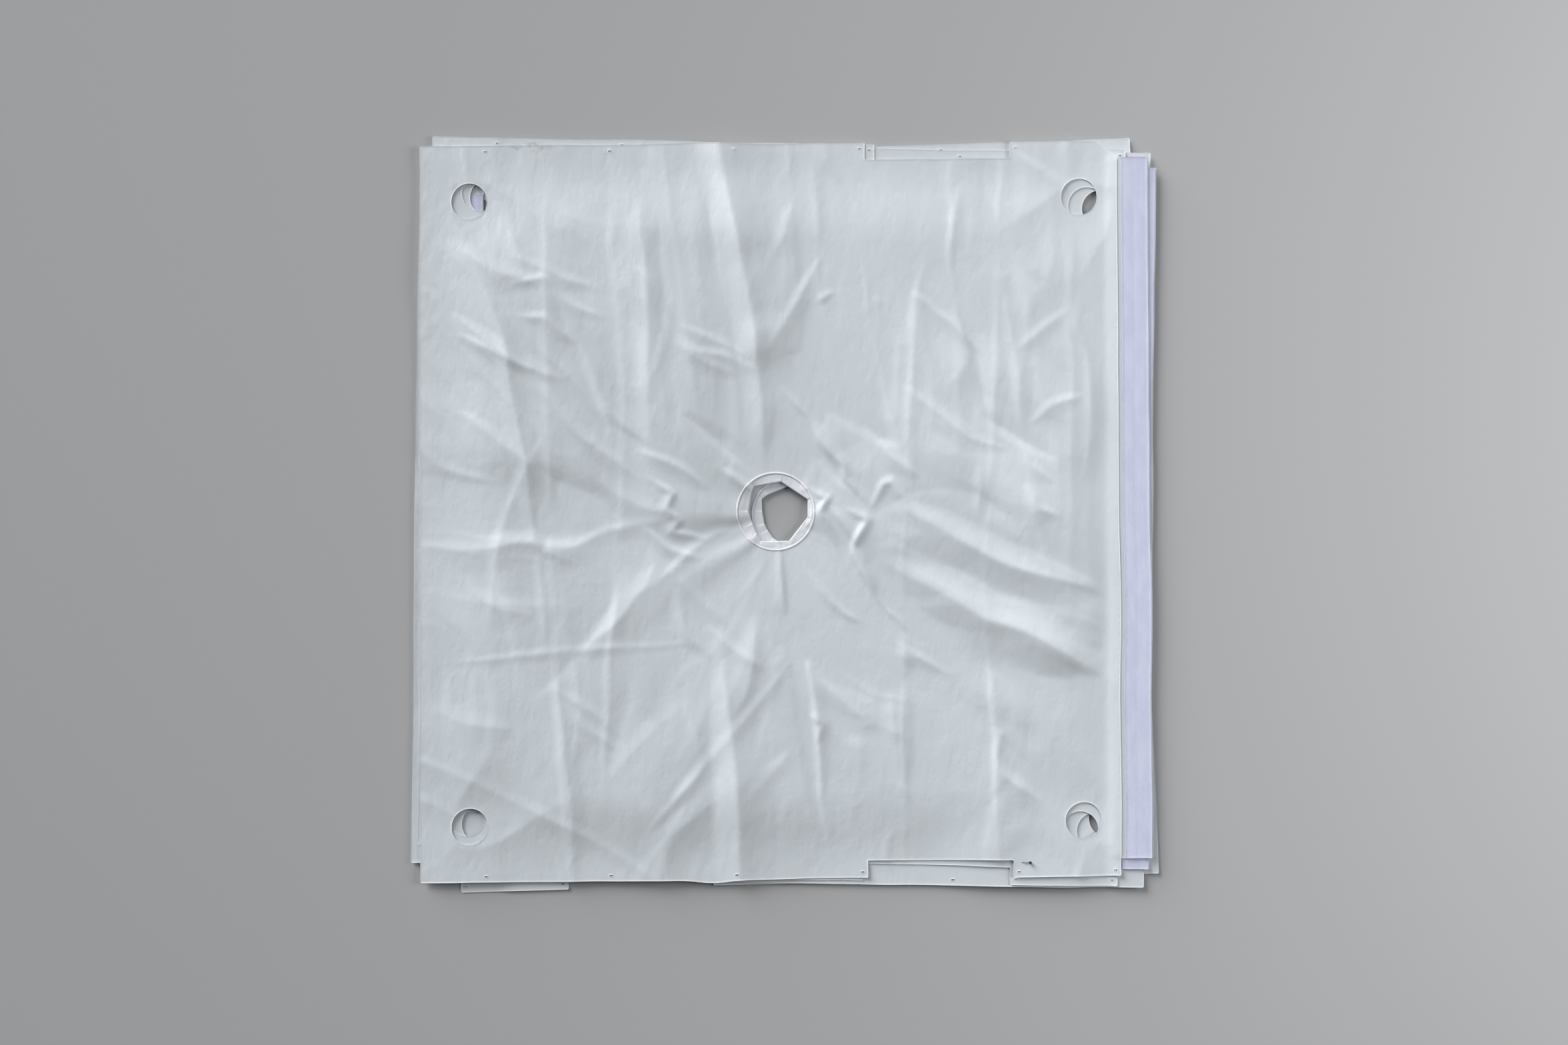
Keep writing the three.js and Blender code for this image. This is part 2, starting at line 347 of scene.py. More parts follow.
# Beside the ridge above the feed hole.
UPPER_MIDDLE_FOLDS = (
    Fold(-1.6, 9, 12, ((-56, 440), (-40, 360), (-26, 280), (-18, 200), (-16, 120))),
    Fold(2.6, 17, 14, ((-240, 500), (-232, 420), (-226, 330), (-222, 210))),
    Fold(-1.2, 8, 8, ((-206, 480), (-208, 420), (-200, 350), (-212, 270))),
    Fold(1.1, 5, 5, ((-232, 394), (-212, 370), (-198, 343))),
    Fold(1.5, 6, 8, ((-160, 282), (-148, 272), (-105, 266), (-62, 248))),
    Fold(1.2, 5, 7, ((-150, 304), (-116, 291), (-78, 272))),
    Fold(1.2, 5, 6, ((-162, 274), (-133, 254), (-104, 243))),
    Fold(-2.0, 9, 8, ((-145, 150), (-108, 122), (-72, 97), (-48, 80))),
    Fold(1.2, 6, 6, ((-92, 70), (-64, 50))),
    Fold(2.0, 6, 8, ((56, 418), (28, 370), (2, 328), (-22, 288))),
    Fold(1.0, 4, 4, ((58, 358), (78, 369), (96, 360))),
    Fold(1.1, 7, 7, ((8, 500), (-2, 465), (-18, 432))),
    Fold(-1.3, 8, 7, ((26, 256), (52, 236), (82, 216))),
    Fold(3.6, 8, 7, ((10, 196), (38, 164), (58, 130), (78, 105), (97, 84), (101, 62), (120, 38))),
    Fold(-2.2, 13, 12, ((74, 184), (105, 163), (135, 145), (168, 128))),
    Fold(1.7, 8, 8, ((142, 134), (168, 105), (202, 80))),
    Fold(-2.2, 7, 7, ((52, 110), (76, 82), (96, 58))),
)

# Left of that ridge.
UPPER_LEFT_FOLDS = (
    Fold(
        3.4, 15, 8,
        ((-500, 380), (-463, 292), (-452, 204), (-430, 94), (-416, 0), (-404, -54), (-380, -62)),
    ),
    Fold(2.2, 11, 7, ((-530, 320), (-471, 273), (-434, 248), (-390, 232))),
    Fold(1.5, 6, 5, ((-522, 290), (-480, 268), (-436, 248))),
    Fold(1.2, 7, 6, ((-432, 238), (-402, 207), (-358, 160), (-325, 123), (-252, 70))),
    Fold(-2.0, 9, 8, ((-374, 336), (-357, 292), (-331, 240), (-308, 186), (-298, 155))),
    Fold(2.2, 7, 10, ((-354, 296), (-320, 237), (-292, 178), (-273, 156), (-238, 128))),
    Fold(1.3, 5, 6, ((-430, 386), (-402, 391), (-386, 380), (-370, 358), (-346, 343), (-322, 334))),
    Fold(1.1, 6, 5, ((-432, 421), (-397, 405), (-361, 387), (-328, 380))),
    Fold(1.3, 5, 4, ((-415, 328), (-396, 326), (-380, 310), (-366, 298))),
    Fold(2.4, 12, 10, ((-535, 440), (-505, 420), (-470, 400), (-440, 392))),
    Fold(1.8, 14, 12, ((-470, 520), (-452, 470), (-440, 430))),
    Fold(1.4, 9, 9, ((-518, 156), (-479, 127), (-436, 95))),
    Fold(-1.6, 10, 10, ((-390, 68), (-358, 42), (-317, 20), (-288, -4))),
    Fold(1.4, 6, 7, ((-218, 96), (-177, 79), (-147, 60))),
    Fold(2.0, 5, 5, ((-206, 48), (-188, 35), (-197, 13), (-177, -9), (-188, -24), (-147, -32))),
    Fold(1.5, 5, 6, ((-218, -33), (-193, -53), (-160, -62))),
    Fold(1.2, 8, 8, ((-600, 110), (-560, 80), (-500, 62))),
    Fold(1.6, 12, 12, ((-340, 110), (-310, 60), (-250, 20), (-200, 5))),
)

# Right of that ridge.
UPPER_RIGHT_FOLDS = (
    Fold(
        3.2, 9, 25,
        ((112, 560), (121, 460), (131, 387), (142, 314), (153, 259), (166, 200), (200, 100)),
    ),
    Fold(1.7, 8, 8, ((168, 436), (184, 462), (202, 490))),
    Fold(-1.2, 8, 8, ((140, 530), (156, 479), (168, 437))),
    Fold(1.3, 7, 7, ((286, 526), (274, 479), (270, 438), (273, 400))),
    Fold(
        -2.3, 8, 9,
        ((283, 436), (290, 394), (297, 358), (305, 314), (312, 277), (319, 240), (328, 184)),
    ),
    Fold(1.6, 8, 7, ((362, 392), (369, 339), (378, 270), (384, 222), (390, 156), (400, 126))),
    Fold(2.6, 10, 26, ((338, 548), (352, 510), (378, 460), (408, 405))),
    Fold(1.6, 5, 5, ((220, 362), (237, 350), (249, 336), (274, 317), (306, 286))),
    Fold(2.2, 9, 8, ((216, 200), (244, 178), (274, 149), (303, 130), (336, 118))),
    Fold(-1.6, 9, 8, ((344, 154), (376, 134), (402, 116), (427, 103))),
    Fold(1.6, 5, 5, ((393, 104), (402, 83), (426, 66))),
    Fold(1.1, 6, 6, ((452, 327), (402, 290))),
    Fold(1.2, 6, 6, ((422, 168), (442, 185), (470, 194))),
    Fold(2.1, 6, 5, ((154, 36), (164, 53), (176, 57), (187, 39), (197, 28), (206, 10))),
    Fold(1.6, 4, 5, ((55, 37), (69, 28), (60, 13), (70, -5))),
    Fold(1.1, 6, 6, ((321, 60), (319, 16))),
    Fold(1.7, 5, 6, ((407, 33), (417, 13), (433, 5))),
    Fold(1.6, 12, 10, ((420, 560), (445, 500), (470, 440), (476, 380))),
    Fold(1.8, 9, 12, ((480, 330), (500, 260), (506, 180), (502, 90))),
    Fold(1.4, 8, 8, ((60, 600), (90, 560), (112, 520))),
)

# Below and left of the feed hole.
LOWER_LEFT_FOLDS = (
    Fold(
        1.8, 13, 13,
        (
            (-600, -50), (-534, -55), (-490, -53), (-424, -44), (-383, -50), (-342, -46), (-300, -26),
            (-228, -12),
        ),
    ),
    Fold(1.1, 8, 8, ((-403, -92), (-398, -182))),
    Fold(
        1.8, 15, 17,
        ((-228, -48), (-218, -79), (-229, -112), (-254, -141), (-280, -176), (-330, -220)),
    ),
    Fold(0.6, 4, 4, ((-540, -240), (-452, -233), (-350, -223), (-232, -217), (-170, -211))),
    Fold(0.8, 5, 6, ((-275, -115), (-283, -180), (-288, -230), (-293, -290), (-296, -400))),
    Fold(
        1.6, 10, 8,
        (
            (-384, -250), (-375, -295), (-364, -355), (-362, -400), (-354, -442), (-350, -500),
            (-347, -630),
        ),
    ),
    Fold(0.8, 6, 5, ((-363, -294), (-325, -317), (-290, -345))),
    Fold(0.7, 6, 5, ((-354, -320), (-325, -350), (-292, -370))),
    Fold(1.0, 13, 13, ((-270, -230), (-254, -262), (-240, -299), (-220, -325))),
    Fold(1.9, 13, 11, ((-173, -145), (-163, -189), (-140, -214))),
    Fold(2.0, 20, 7, ((-50, -192), (-52, -240), (-63, -288), (-74, -310))),
    Fold(1.1, 6, 7, ((-110, -196), (-82, -220), (-52, -238))),
    Fold(
        1.6, 7, 7,
        ((-5, -258), (-42, -303), (-78, -347), (-127, -402), (-149, -431), (-177, -464), (-212, -506)),
    ),
    Fold(-1.4, 12, 10, ((-128, -350), (-124, -430), (-120, -520), (-118, -640))),
    Fold(-1.1, 7, 7, ((-128, -400), (-116, -426), (-111, -460), (-118, -500))),
    Fold(1.1, 9, 8, ((-157, -330), (-144, -369), (-128, -402))),
    Fold(0.8, 8, 8, ((-6, -402), (-34, -435), (-56, -460))),
    Fold(1.1, 9, 9, ((-188, -86), (-160, -61), (-130, -39), (-104, -25), (-74, -28))),
    Fold(0.8, 9, 9, ((-180, -102), (-150, -130), (-117, -158))),
    Fold(
        1.2, 8, 8,
        ((-640, -392), (-597, -409), (-490, -453), (-386, -501), (-300, -545), (-215, -600)),
    ),
    Fold(1.1, 14, 14, ((-560, -330), (-520, -345), (-470, -350))),
    Fold(1.2, 16, 14, ((-230, -480), (-200, -540), (-190, -620))),
    Fold(1.0, 12, 12, ((-520, -120), (-480, -150), (-440, -160))),
)

# Below and right of the feed hole.
LOWER_RIGHT_FOLDS = (
    Fold(2.1, 10, 7, ((-12, -40), (-6, -105), (3, -165))),
    Fold(
        -3.4, 7, 8,
        (
            (-5, -40), (4, -105), (13, -160), (21, -204), (30, -270), (37, -332), (42, -387), (48, -442),
            (58, -500),
        ),
    ),
    Fold(1.9, 6, 6, ((34, -230), (50, -295), (54, -350), (57, -387), (60, -450))),
    Fold(1.3, 4, 4, ((50, -336), (62, -344), (58, -356))),
    Fold(2.1, 6, 5, ((67, 19), (59, 6), (68, -13), (79, -35), (89, -59))),
    Fold(-3.2, 9, 7, ((77, -27), (98, -68), (116, -101), (134, -127), (153, -152), (173, -178))),
    Fold(
        3.8, 7, 9,
        ((125, -20), (114, -50), (123, -75), (138, -105), (149, -134), (171, -156), (193, -178)),
    ),
    Fold(1.6, 5, 6, ((88, 0), (111, -33))),
    Fold(1.4, 6, 7, ((158, -185), (175, -204), (197, -218), (219, -229), (252, -250))),
    Fold(1.3, 5, 5, ((118, 0), (134, -9), (122, -30))),
    Fold(
        -1.6, 14, 14,
        ((190, -42), (228, -63), (272, -80), (316, -101), (354, -119), (398, -134), (470, -160)),
    ),
    Fold(-1.4, 7, 6, ((334, -236), (338, -330), (343, -490))),
    Fold(2.1, 15, 8, ((176, -305), (180, -380), (185, -460))),
    Fold(1.3, 6, 7, ((411, 4), (424, -31), (432, -66))),
    Fold(2.6, 9, 11, ((352, -376), (347, -402), (358, -427), (384, -446), (420, -468), (446, -482))),
    Fold(-1.6, 9, 9, ((373, -386), (406, -431), (438, -480))),
    Fold(-1.3, 12, 12, ((150, -226), (186, -259), (230, -288), (274, -321), (329, -342))),
    Fold(1.1, 7, 7, ((37, -236), (61, -277), (87, -299), (108, -316))),
    Fold(-1.6, 12, 12, ((58, -310), (101, -350), (138, -369), (156, -405), (177, -458))),
    Fold(1.2, 8, 8, ((198, -456), (222, -479), (266, -522))),
    Fold(2.2, 13, 10, ((40, -98), (68, -130), (101, -160), (142, -184))),
    Fold(-1.6, 12, 12, ((50, -180), (101, -200), (149, -204), (200, -220))),
    Fold(1.8, 14, 14, ((250, -380), (280, -430), (290, -500))),
    Fold(1.6, 12, 12, ((480, -400), (505, -450), (520, -520))),
)


def run_of_cloth(x: float, y: float) -> float:
    """The way that small folds run at a place on the top panel, in degrees."""
    radial = math.degrees(math.atan2(y, x))
    near_hole = math.exp(-((math.hypot(x, y) / 260.0) ** 2))
    if y > 0:
        calm = -42.0 if x < -300 else 92.0
    elif x > 90:
        calm = -24.0 if y > -330 else 84.0
    else:
        calm = 58.0 if x > -250 else 96.0
    turn = (radial - calm + 90.0) % 180.0 - 90.0
    return calm + near_hole * turn


def scattered_folds(count: int, seed: int) -> tuple[Fold, ...]:
    """Small folds all over the top panel, running the way the cloth is drawn.

    Args:
        count: How many folds.
        seed: Picks their places.

    Returns:
        The folds.
    """
    rng = np.random.default_rng(seed)
    made = []
    for _ in range(count):
        x, y = rng.uniform(-560, 520), rng.uniform(-570, 570)
        length = rng.uniform(110, 360)
        angle = math.radians(run_of_cloth(x, y) + rng.normal(0, 13))
        bow = rng.normal(0, 0.09)
        points = []
        for share in (-0.5, -0.17, 0.17, 0.5):
            along, across = share * length, (0.25 - share * share) * 4 * bow * length
            far = x + along * math.cos(angle) - across * math.sin(angle)
            points.append((far, y + along * math.sin(angle) + across * math.cos(angle)))
        rise = rng.uniform(0.6, 1.5) * (0.35 + length / 300)
        crisp, gentle = rng.uniform(16, 34), rng.uniform(45, 90)
        if rng.random() < 0.6:
            made.append(Fold(rise, crisp, gentle, tuple(points)))
        else:
            made.append(Fold(-rise, gentle, crisp, tuple(points)))
    return tuple(made)


# What pulls outwards from the four ports.
PORT_FOLDS = (
    Fold(2.6, 10, 12, ((471, 660), (466, 600), (476, 545))),
    Fold(2.2, 8, 10, ((396, 590), (436, 562), (478, 536))),
    Fold(2.2, 10, 12, ((532, 620), (537, 550), (530, 470))),
    Fold(2.6, 7, 10, ((462, -420), (466, -470), (478, -508))),
    Fold(2.2, 7, 10, ((505, -540), (517, -575), (534, -615))),
    Fold(2.2, 7, 8, ((498, -545), (488, -585), (482, -625))),
    Fold(2.0, 8, 9, ((-531, 650), (-529, 595), (-522, 545))),
    Fold(2.0, 8, 9, ((-522, 534), (-492, 502), (-462, 472))),
    Fold(1.8, 8, 9, ((-540, -500), (-580, -480), (-610, -470))),
)

PLACED_FOLDS = (
    PACKAGE_FOLDS
    + UPPER_MIDDLE_FOLDS
    + UPPER_LEFT_FOLDS
    + UPPER_RIGHT_FOLDS
    + LOWER_LEFT_FOLDS
    + LOWER_RIGHT_FOLDS
    + PORT_FOLDS
)
TOP_FOLDS = tuple(fold.eased() for fold in PLACED_FOLDS) + scattered_folds(80, seed=17)


class Zone(Enum):
    """Parts of the stack where the panels settle onto each other, with each one's settling."""

    MIDDLE = (1.6, -3.6, -5.0, -7.0)
    LEFT = (0.0, -2.5, -3.9, -5.9)  # a folded flap lies between
    RIGHT = (3.0, -0.9, -1.0, -1.2)  # a flap and its tape lie between
    HOLE = (1.2, -2.8, -3.6, -4.0)  # the necks lie between
    PIN = (4.0, 0.6, 0.3, 0.0)


PORT_PLACES = tuple((across, up) for across in (-516, 500) for up in (-513, 520))


@dataclass(frozen=True)
class StackRelief:
    """How far each panel rides above its flat level anywhere in the frame."""

    pin_place: Point
    pinned_radius: float = 60.0
    half_side: float = 592.0
    border: float = 150.0  # width of the band in which the panels settle
    looseness: tuple[float, float, float] = (0.5, 0.6, 0.7)  # lowest panel first
    top_puff: float = 2.2
    waves: float = 5.2  # rise of the broad waves
    drift: float = 3.0  # sideways wander of the folds
    free_rise: float = 13.4  # lift above which the cloth's weight holds it down
    most_rise: float = 15.4
    port_reach: float = 92.0  # how far round a port the cloth lies flat
    hem: float = 496.0  # where the flap's hem starts to keep the cloth flat
    hem_width: float = 44.0

    def height(self, level: int, x: np.ndarray, y: np.ndarray) -> np.ndarray:
        """How far one panel is lifted: by the slack of the panels below it and by its own.

        Args:
            level: The panel's place in the stack, 0 at the bottom.
            x: Places across, in millimetres.
            y: Places up, in millimetres.

        Returns:
            The lift at each place, in millimetres.
        """
        settling, settled, ported = self._settling(level, x, y)
        total = np.zeros_like(x)
        for below, slack in enumerate(self.looseness[: level + 1]):
            wave = smooth_noise(x, y, 150.0, seed=31 + below)
            wave = 0.65 * wave + 0.35 * smooth_noise(x, y, 60.0, seed=41 + below)
            total += slack * (0.5 + 0.5 * wave) * (1 - 0.7 * settled)
        if level == len(self.looseness):
            hemmed = ease((x - self.hem) / self.hem_width)
            total += self._top(x, y) * (1 - 0.2 * settled) * (1 - 0.85 * ported) * (1 - 0.93 * hemmed)
            over = np.maximum(total - self.free_rise, 0.0)
            room = self.most_rise - self.free_rise
            total = np.minimum(total, self.free_rise) + room * np.tanh(over / room)
        reach = np.hypot(x - self.pin_place[0], y - self.pin_place[1])
        return total * ease((reach - 8) / self.pinned_radius) + settling

    def _settling(
        self, level: int, x: np.ndarray, y: np.ndarray
    ) -> tuple[np.ndarray, np.ndarray, np.ndarray]:
        """A panel's settling towards its neighbours, how settled each place is, and how near a port."""
        to_edge = self.half_side - np.maximum(np.abs(x), np.abs(y))
        near_edge = 1 - ease(to_edge / self.border)
        ported = np.zeros_like(x)
        for across, up in PORT_PLACES:
            away = (x - across) ** 2 + (y - up) ** 2
            ported = np.maximum(ported, np.exp(-(away / self.port_reach**2)))
        near_edge = np.maximum(near_edge, ported)
        near_hole = np.exp(-(((x + 5) ** 2 + (y - 4) ** 2) / 100.0**2))
        left = 1 - ease((x + 488) / 45)
        right = ease((x - 520) / 40)
        pinned = 1 - ease((np.hypot(x - self.pin_place[0], y - self.pin_place[1]) - 40) / 150)
        edge = (1 - left - right) * Zone.MIDDLE.value[level]
        edge = edge + left * Zone.LEFT.value[level] + right * Zone.RIGHT.value[level]
        settling = near_edge * edge + (1 - near_edge) * near_hole * Zone.HOLE.value[level]
        settling = settling * (1 - pinned) + pinned * Zone.PIN.value[level]
        return settling, np.maximum(near_edge, near_hole), ported

    def _top(self, x: np.ndarray, y: np.ndarray) -> np.ndarray:
        """The top panel's own puff, folds and crumples."""
        fold_x = x + self.drift * smooth_noise(x, y, 80.0, seed=51)
        fold_y = y + self.drift * smooth_noise(x, y, 80.0, seed=52)
        lift = 0.8 * smooth_noise(x, y, 150.0, seed=53) + self.waves * drawn_noise(x, y, 105.0, seed=100)
        for fold in TOP_FOLDS:
            lift = lift + fold.lift(fold_x, fold_y)
        for wavelength, share, seed in ((52.0, 0.7, 200), (25.0, 0.22, 300)):
            lift = lift + share * (0.55 - 2.0 * np.abs(drawn_noise(fold_x, fold_y, wavelength, seed)))
        for ridge in RIDGES:
            held = replace(ridge, rise=1.0, upper=2.0 * ridge.upper, lower=ridge.lower, crest=20.0)
            lift = lift * (1 - 0.7 * held.lift(fold_x, fold_y).clip(0, 1)) + ridge.lift(fold_x, fold_y)
        lift = lift + self.top_puff
        return 0.5 * (lift + np.sqrt(lift * lift + 0.5))


# ---- How the panels are cut and laid --------------------------------------------------


@dataclass(frozen=True)
class PanelCut:
    """The sizes that every panel is cut to, from the middle of its feed hole."""

    free_side: float = 590.0
    flap_side: float = 570.0
    half_height: float = 580.0
    tab_depth: float = 28.5
    long_tab: float = 740.0
    short_tab: float = 178.0
    hole: float = 125.0
    port: float = 60.0
    port_across: float = 1016.0
    port_up: float = 1032.0
    slot_from_edge: float = 9.5
    slot_from_end: float = 9.0
    slot_pitch: float = 207.5
    long_tab_slots: int = 4
    punch: float = 2.6  # each tie slot is two punched holes that meet
    punch_apart: float = 2.7
    turned_along: float = 34.0
    turned_down: float = 28.0
    thickness: float = 0.5

    @property
    def tab_edge(self) -> float:
        """From the feed hole to the outer edge of the tabs."""
        return self.half_height + self.tab_depth

    @property
    def long_tab_end(self) -> float:
        """Where the long tab ends at the notch."""
        return self.long_tab - self.free_side

    @property
    def short_tab_start(self) -> float:
        """Where the short tab starts at the notch."""
        return self.flap_side - self.short_tab

    def tie_slots(self) -> list[float]:
        """Places of the tie slots along a tab edge, towards the flap."""
        first = self.long_tab_end - self.slot_from_end
        places = [first - index * self.slot_pitch for index in range(self.long_tab_slots)]
        return [*places, self.short_tab_start + self.slot_from_end, self.flap_side - self.slot_from_end]

    @property
    def area(self) -> float:
        """Flat area of a panel with all its holes, in square millimetres."""
        body = (self.free_side + self.flap_side) * 2 * self.half_height
        tabs = 2 * (self.long_tab + self.short_tab) * self.tab_depth
        holes = math.pi / 4 * (self.hole**2 + 4 * self.port**2)
        return body + tabs - holes


CUT = PanelCut()


@dataclass(frozen=True)
class Pull:
    """A place where a sheet's cloth was pulled sideways as it was laid."""

    at: Point
    shift: Point
    radius: float


@dataclass(frozen=True)
class Lay:
    """Where one panel lies, and how its corners stray from a true rectangle."""

    centre: Point
    turn: float
    top_left: Point = (0.0, 0.0)
    top_right: Point = (0.0, 0.0)
    bottom_left: Point = (0.0, 0.0)
    bottom_right: Point = (0.0, 0.0)
    pulls: tuple[Pull, ...] = ()
    seed: int = 0
    waver: float = 1.3  # how far an edge wanders from its line
    corner: Point = (580.0, 608.0)  # where the corners' strays are whole
    calm_radius: float = 420.0  # inside which the strays die away

    def place(self, points: np.ndarray) -> np.ndarray:
        """Moves flat places on the panel to where they lie in the frame.

        Args:
            points: Places from the feed hole's middle, in millimetres.

        Returns:
            The same places in the frame, in millimetres.
        """
        u = (points[:, 0] / self.corner[0] + 1) / 2
        v = (points[:, 1] / self.corner[1] + 1) / 2
        stray = (
            np.outer((1 - u) * v, self.top_left)
            + np.outer(u * v, self.top_right)
            + np.outer((1 - u) * (1 - v), self.bottom_left)
            + np.outer(u * (1 - v), self.bottom_right)
        )
        middle = np.clip(np.hypot(points[:, 0], points[:, 1]) / self.calm_radius, 0, 1)[:, None]
        cos, sin = math.cos(math.radians(self.turn)), math.sin(math.radians(self.turn))
        turned = points @ np.array([[cos, sin], [-sin, cos]])
        placed = turned + stray * middle + np.array(self.centre)
        x, y = placed[:, 0].copy(), placed[:, 1].copy()
        for axis in range(2):
            wander = smooth_noise(x, y, 165.0, seed=self.seed + 71 + axis)
            wander = wander + 0.4 * smooth_noise(x, y, 60.0, seed=self.seed + 81 + axis)
            placed[:, axis] += self.waver * wander * middle[:, 0]
        for pull in self.pulls:
            reach = np.hypot(x - pull.at[0], y - pull.at[1]) / pull.radius
            placed += np.exp(-(reach**2))[:, None] * np.array(pull.shift)
        return placed


# ---- Flat outlines --------------------------------------------------------------------


def ring_points(centre: Point, radius: float, count: int) -> list[Point]:
    """Points round a circle, clockwise, as a hole needs them."""
    turns = [-2 * math.pi * index / count for index in range(count)]
    return [(centre[0] + radius * math.cos(a), centre[1] + radius * math.sin(a)) for a in turns]


def punched_slot(centre: Point) -> list[Point]:
    """The outline of two punched holes that meet, clockwise."""
    radius, half = CUT.punch / 2, CUT.punch_apart / 2
    waist = math.acos(min(1.0, half / radius * 0.92))
    points = []
    for sign in (1, -1):
        for step in range(9):
            angle = (math.pi - waist) * (1 - step / 4)
            across = half + radius * math.cos(angle)
            points.append((centre[0] + sign * across, centre[1] + sign * radius * math.sin(angle)))
    return points


def split_evenly(corners: list[Point], pitch: float) -> list[Point]:
    """Adds points along a closed outline so that none are further apart than the pitch."""
    points = []
    for a, b in zip(corners, corners[1:] + corners[:1]):
        count = max(1, round(math.dist(a, b) / pitch))
        run = (b[0] - a[0], b[1] - a[1])
        points += [(a[0] + run[0] * i / count, a[1] + run[1] * i / count) for i in range(count)]
    return points


def rounded(corners: list[Point], radius: float) -> list[Point]:
    """A closed outline with each corner cut by a short arc."""
    points = []
    befores, afters = corners[-1:] + corners[:-1], corners[1:] + corners[:1]
    for before, corner, after in zip(befores, corners, afters):
        to_before = Vector(before) - Vector(corner)
        to_after = Vector(after) - Vector(corner)
        start = Vector(corner) + to_before.normalized() * min(radius, to_before.length / 3)
        end = Vector(corner) + to_after.normalized() * min(radius, to_after.length / 3)
        for share in (0.0, 0.33, 0.67, 1.0):
            point = start.lerp(Vector(corner), share).lerp(Vector(corner).lerp(end, share), share)
            points.append((point.x, point.y))
    return points


def inside(points: np.ndarray, loops: list[list[Point]]) -> np.ndarray:
    """Which points lie on the sheet: in its outer loop and in none of its holes."""
    odd = np.zeros(len(points), bool)
    x, y = points[:, 0], points[:, 1]
    for loop in loops:
        for (ax, ay), (bx, by) in zip(loop, loop[1:] + loop[:1]):
            if ay == by:
                continue
            crosses = ((ay > y) != (by > y)) & (x < (bx - ax) * (y - ay) / (by - ay) + ax)
            odd ^= crosses
    return odd


@dataclass
class FlatSheet:
    """A sheet's cut: its outer loop, anticlockwise, and its holes, clockwise."""

    outer: list[Point]
    holes: list[list[Point]] = field(default_factory=list)

    def triangles(
        self, edge_pitch: float, pitch: float, rims: tuple[float, ...]
    ) -> tuple[np.ndarray, list[list[int]], list[int]]:
        """Fills the cut with triangles.

        Args:
            edge_pitch: Spacing along the outer edge.
            pitch: Spacing over the middle.
            rims: Distances in from each edge at which extra rows of points follow it.

        Returns:
            The points, the triangles and how many points each loop has. The loops' points come first.
        """
        loops = [split_evenly(self.outer, edge_pitch), *self.holes]
        border = np.array([point for loop in loops for point in loop])
        low, high = border.min(0), border.max(0)
        row = pitch * 0.866
        rows = []
        for index, y in enumerate(np.arange(low[1] + row / 2, high[1], row)):
            xs = np.arange(low[0] + pitch * (0.25 + 0.5 * (index % 2)), high[0], pitch)
            rows.append(np.stack([xs, np.full(len(xs), y)], 1))
        free = np.vstack(rows)
        followers = [self._inset(loop, rim) for rim in rims for loop in loops]
        follow = np.vstack(followers) if followers else np.zeros((0, 2))
        follow = follow[inside(follow, [self.outer, *self.holes])] if len(follow) else follow
        fixed = np.vstack([border, follow])
        tree = kdtree.KDTree(len(fixed))
        for index, point in enumerate(fixed):
            tree.insert((point[0], point[1], 0.0), index)
        tree.balance()
        free = free[inside(free, [self.outer, *self.holes])]
        clear = np.array([tree.find((x, y, 0.0))[2] > pitch * 0.55 for x, y in free], bool)
        coords = [Vector(point) for point in np.vstack([fixed, free[clear]])]
        edges, counts, base = [], [], 0
        for loop in loops:
            edges += [(base + i, base + (i + 1) % len(loop)) for i in range(len(loop))]
            counts.append(len(loop))
            base += len(loop)
        made = delaunay_2d_cdt(coords, edges, [], 1, 1e-6)
        points, faces = np.array([tuple(point) for point in made[0]]), np.array(made[2])
        middles = points[faces].mean(1)
        keep = inside(middles, loops)
        return points, faces[keep].tolist(), counts

    @staticmethod
    def _inset(loop: list[Point], distance: float) -> np.ndarray:
        """A loop's points moved in over the sheet by a distance."""
        ring = np.array(loop)
        run = np.roll(ring, -1, 0) - np.roll(ring, 1, 0)
        normal = np.stack([-run[:, 1], run[:, 0]], 1)
        normal /= np.maximum(np.linalg.norm(normal, axis=1), 1e-9)[:, None]
        return ring + normal * distance


def outward(points: list[Point], hand: Hand) -> list[Point]:
    """Mirrors an outline for a left-hand panel and keeps the way round it goes."""
    if hand is Hand.RIGHT:
        return points
    return [(-x, y) for x, y in reversed(points)]


# ---- Meshes ---------------------------------------------------------------------------


def new_object(name: str, vertices: np.ndarray, faces: list) -> bpy.types.Object:
    """Makes a mesh object from places in millimetres.

    Args:
        name: The piece's name.
        vertices: An array of places in the frame, in millimetres.
        faces: Lists of vertex indices.

    Returns:
        The object, at the origin and linked to the scene.
    """
    mesh = bpy.data.meshes.new(name)
    mesh.from_pydata((np.asarray(vertices) * MM).tolist(), [], faces)
    mesh.validate()
    made = bpy.data.objects.new(name, mesh)
    bpy.context.scene.collection.objects.link(made)
    return made


def make_active(piece: bpy.types.Object) -> None:
    """Selects one piece alone, for the operator that follows."""
    bpy.ops.object.select_all(action="DESELECT")
    piece.select_set(True)
    bpy.context.view_layer.objects.active = piece


def tube_faces(rings: int, around: int, start: int = 0, closed: bool = False) -> list[list[int]]:
    """Faces between rings of points that follow each other.

    Args:
        rings: How many rings.
        around: How many points each ring has.
        start: The first point's index.
        closed: Whether the last ring joins the first; the faces then turn the other way.

    Returns:
        Lists of vertex indices.
    """
    faces = []
    for ring in range(rings if closed else rings - 1):
        onward = ((ring + 1) % rings - ring) * around
        for side in range(around):
            a, b = start + ring * around + side, start + ring * around + (side + 1) % around
            if closed:
                faces.append([a, b, b + onward, a + onward])
            else:
                faces.append([a, a + onward, b + onward, b])
    return faces


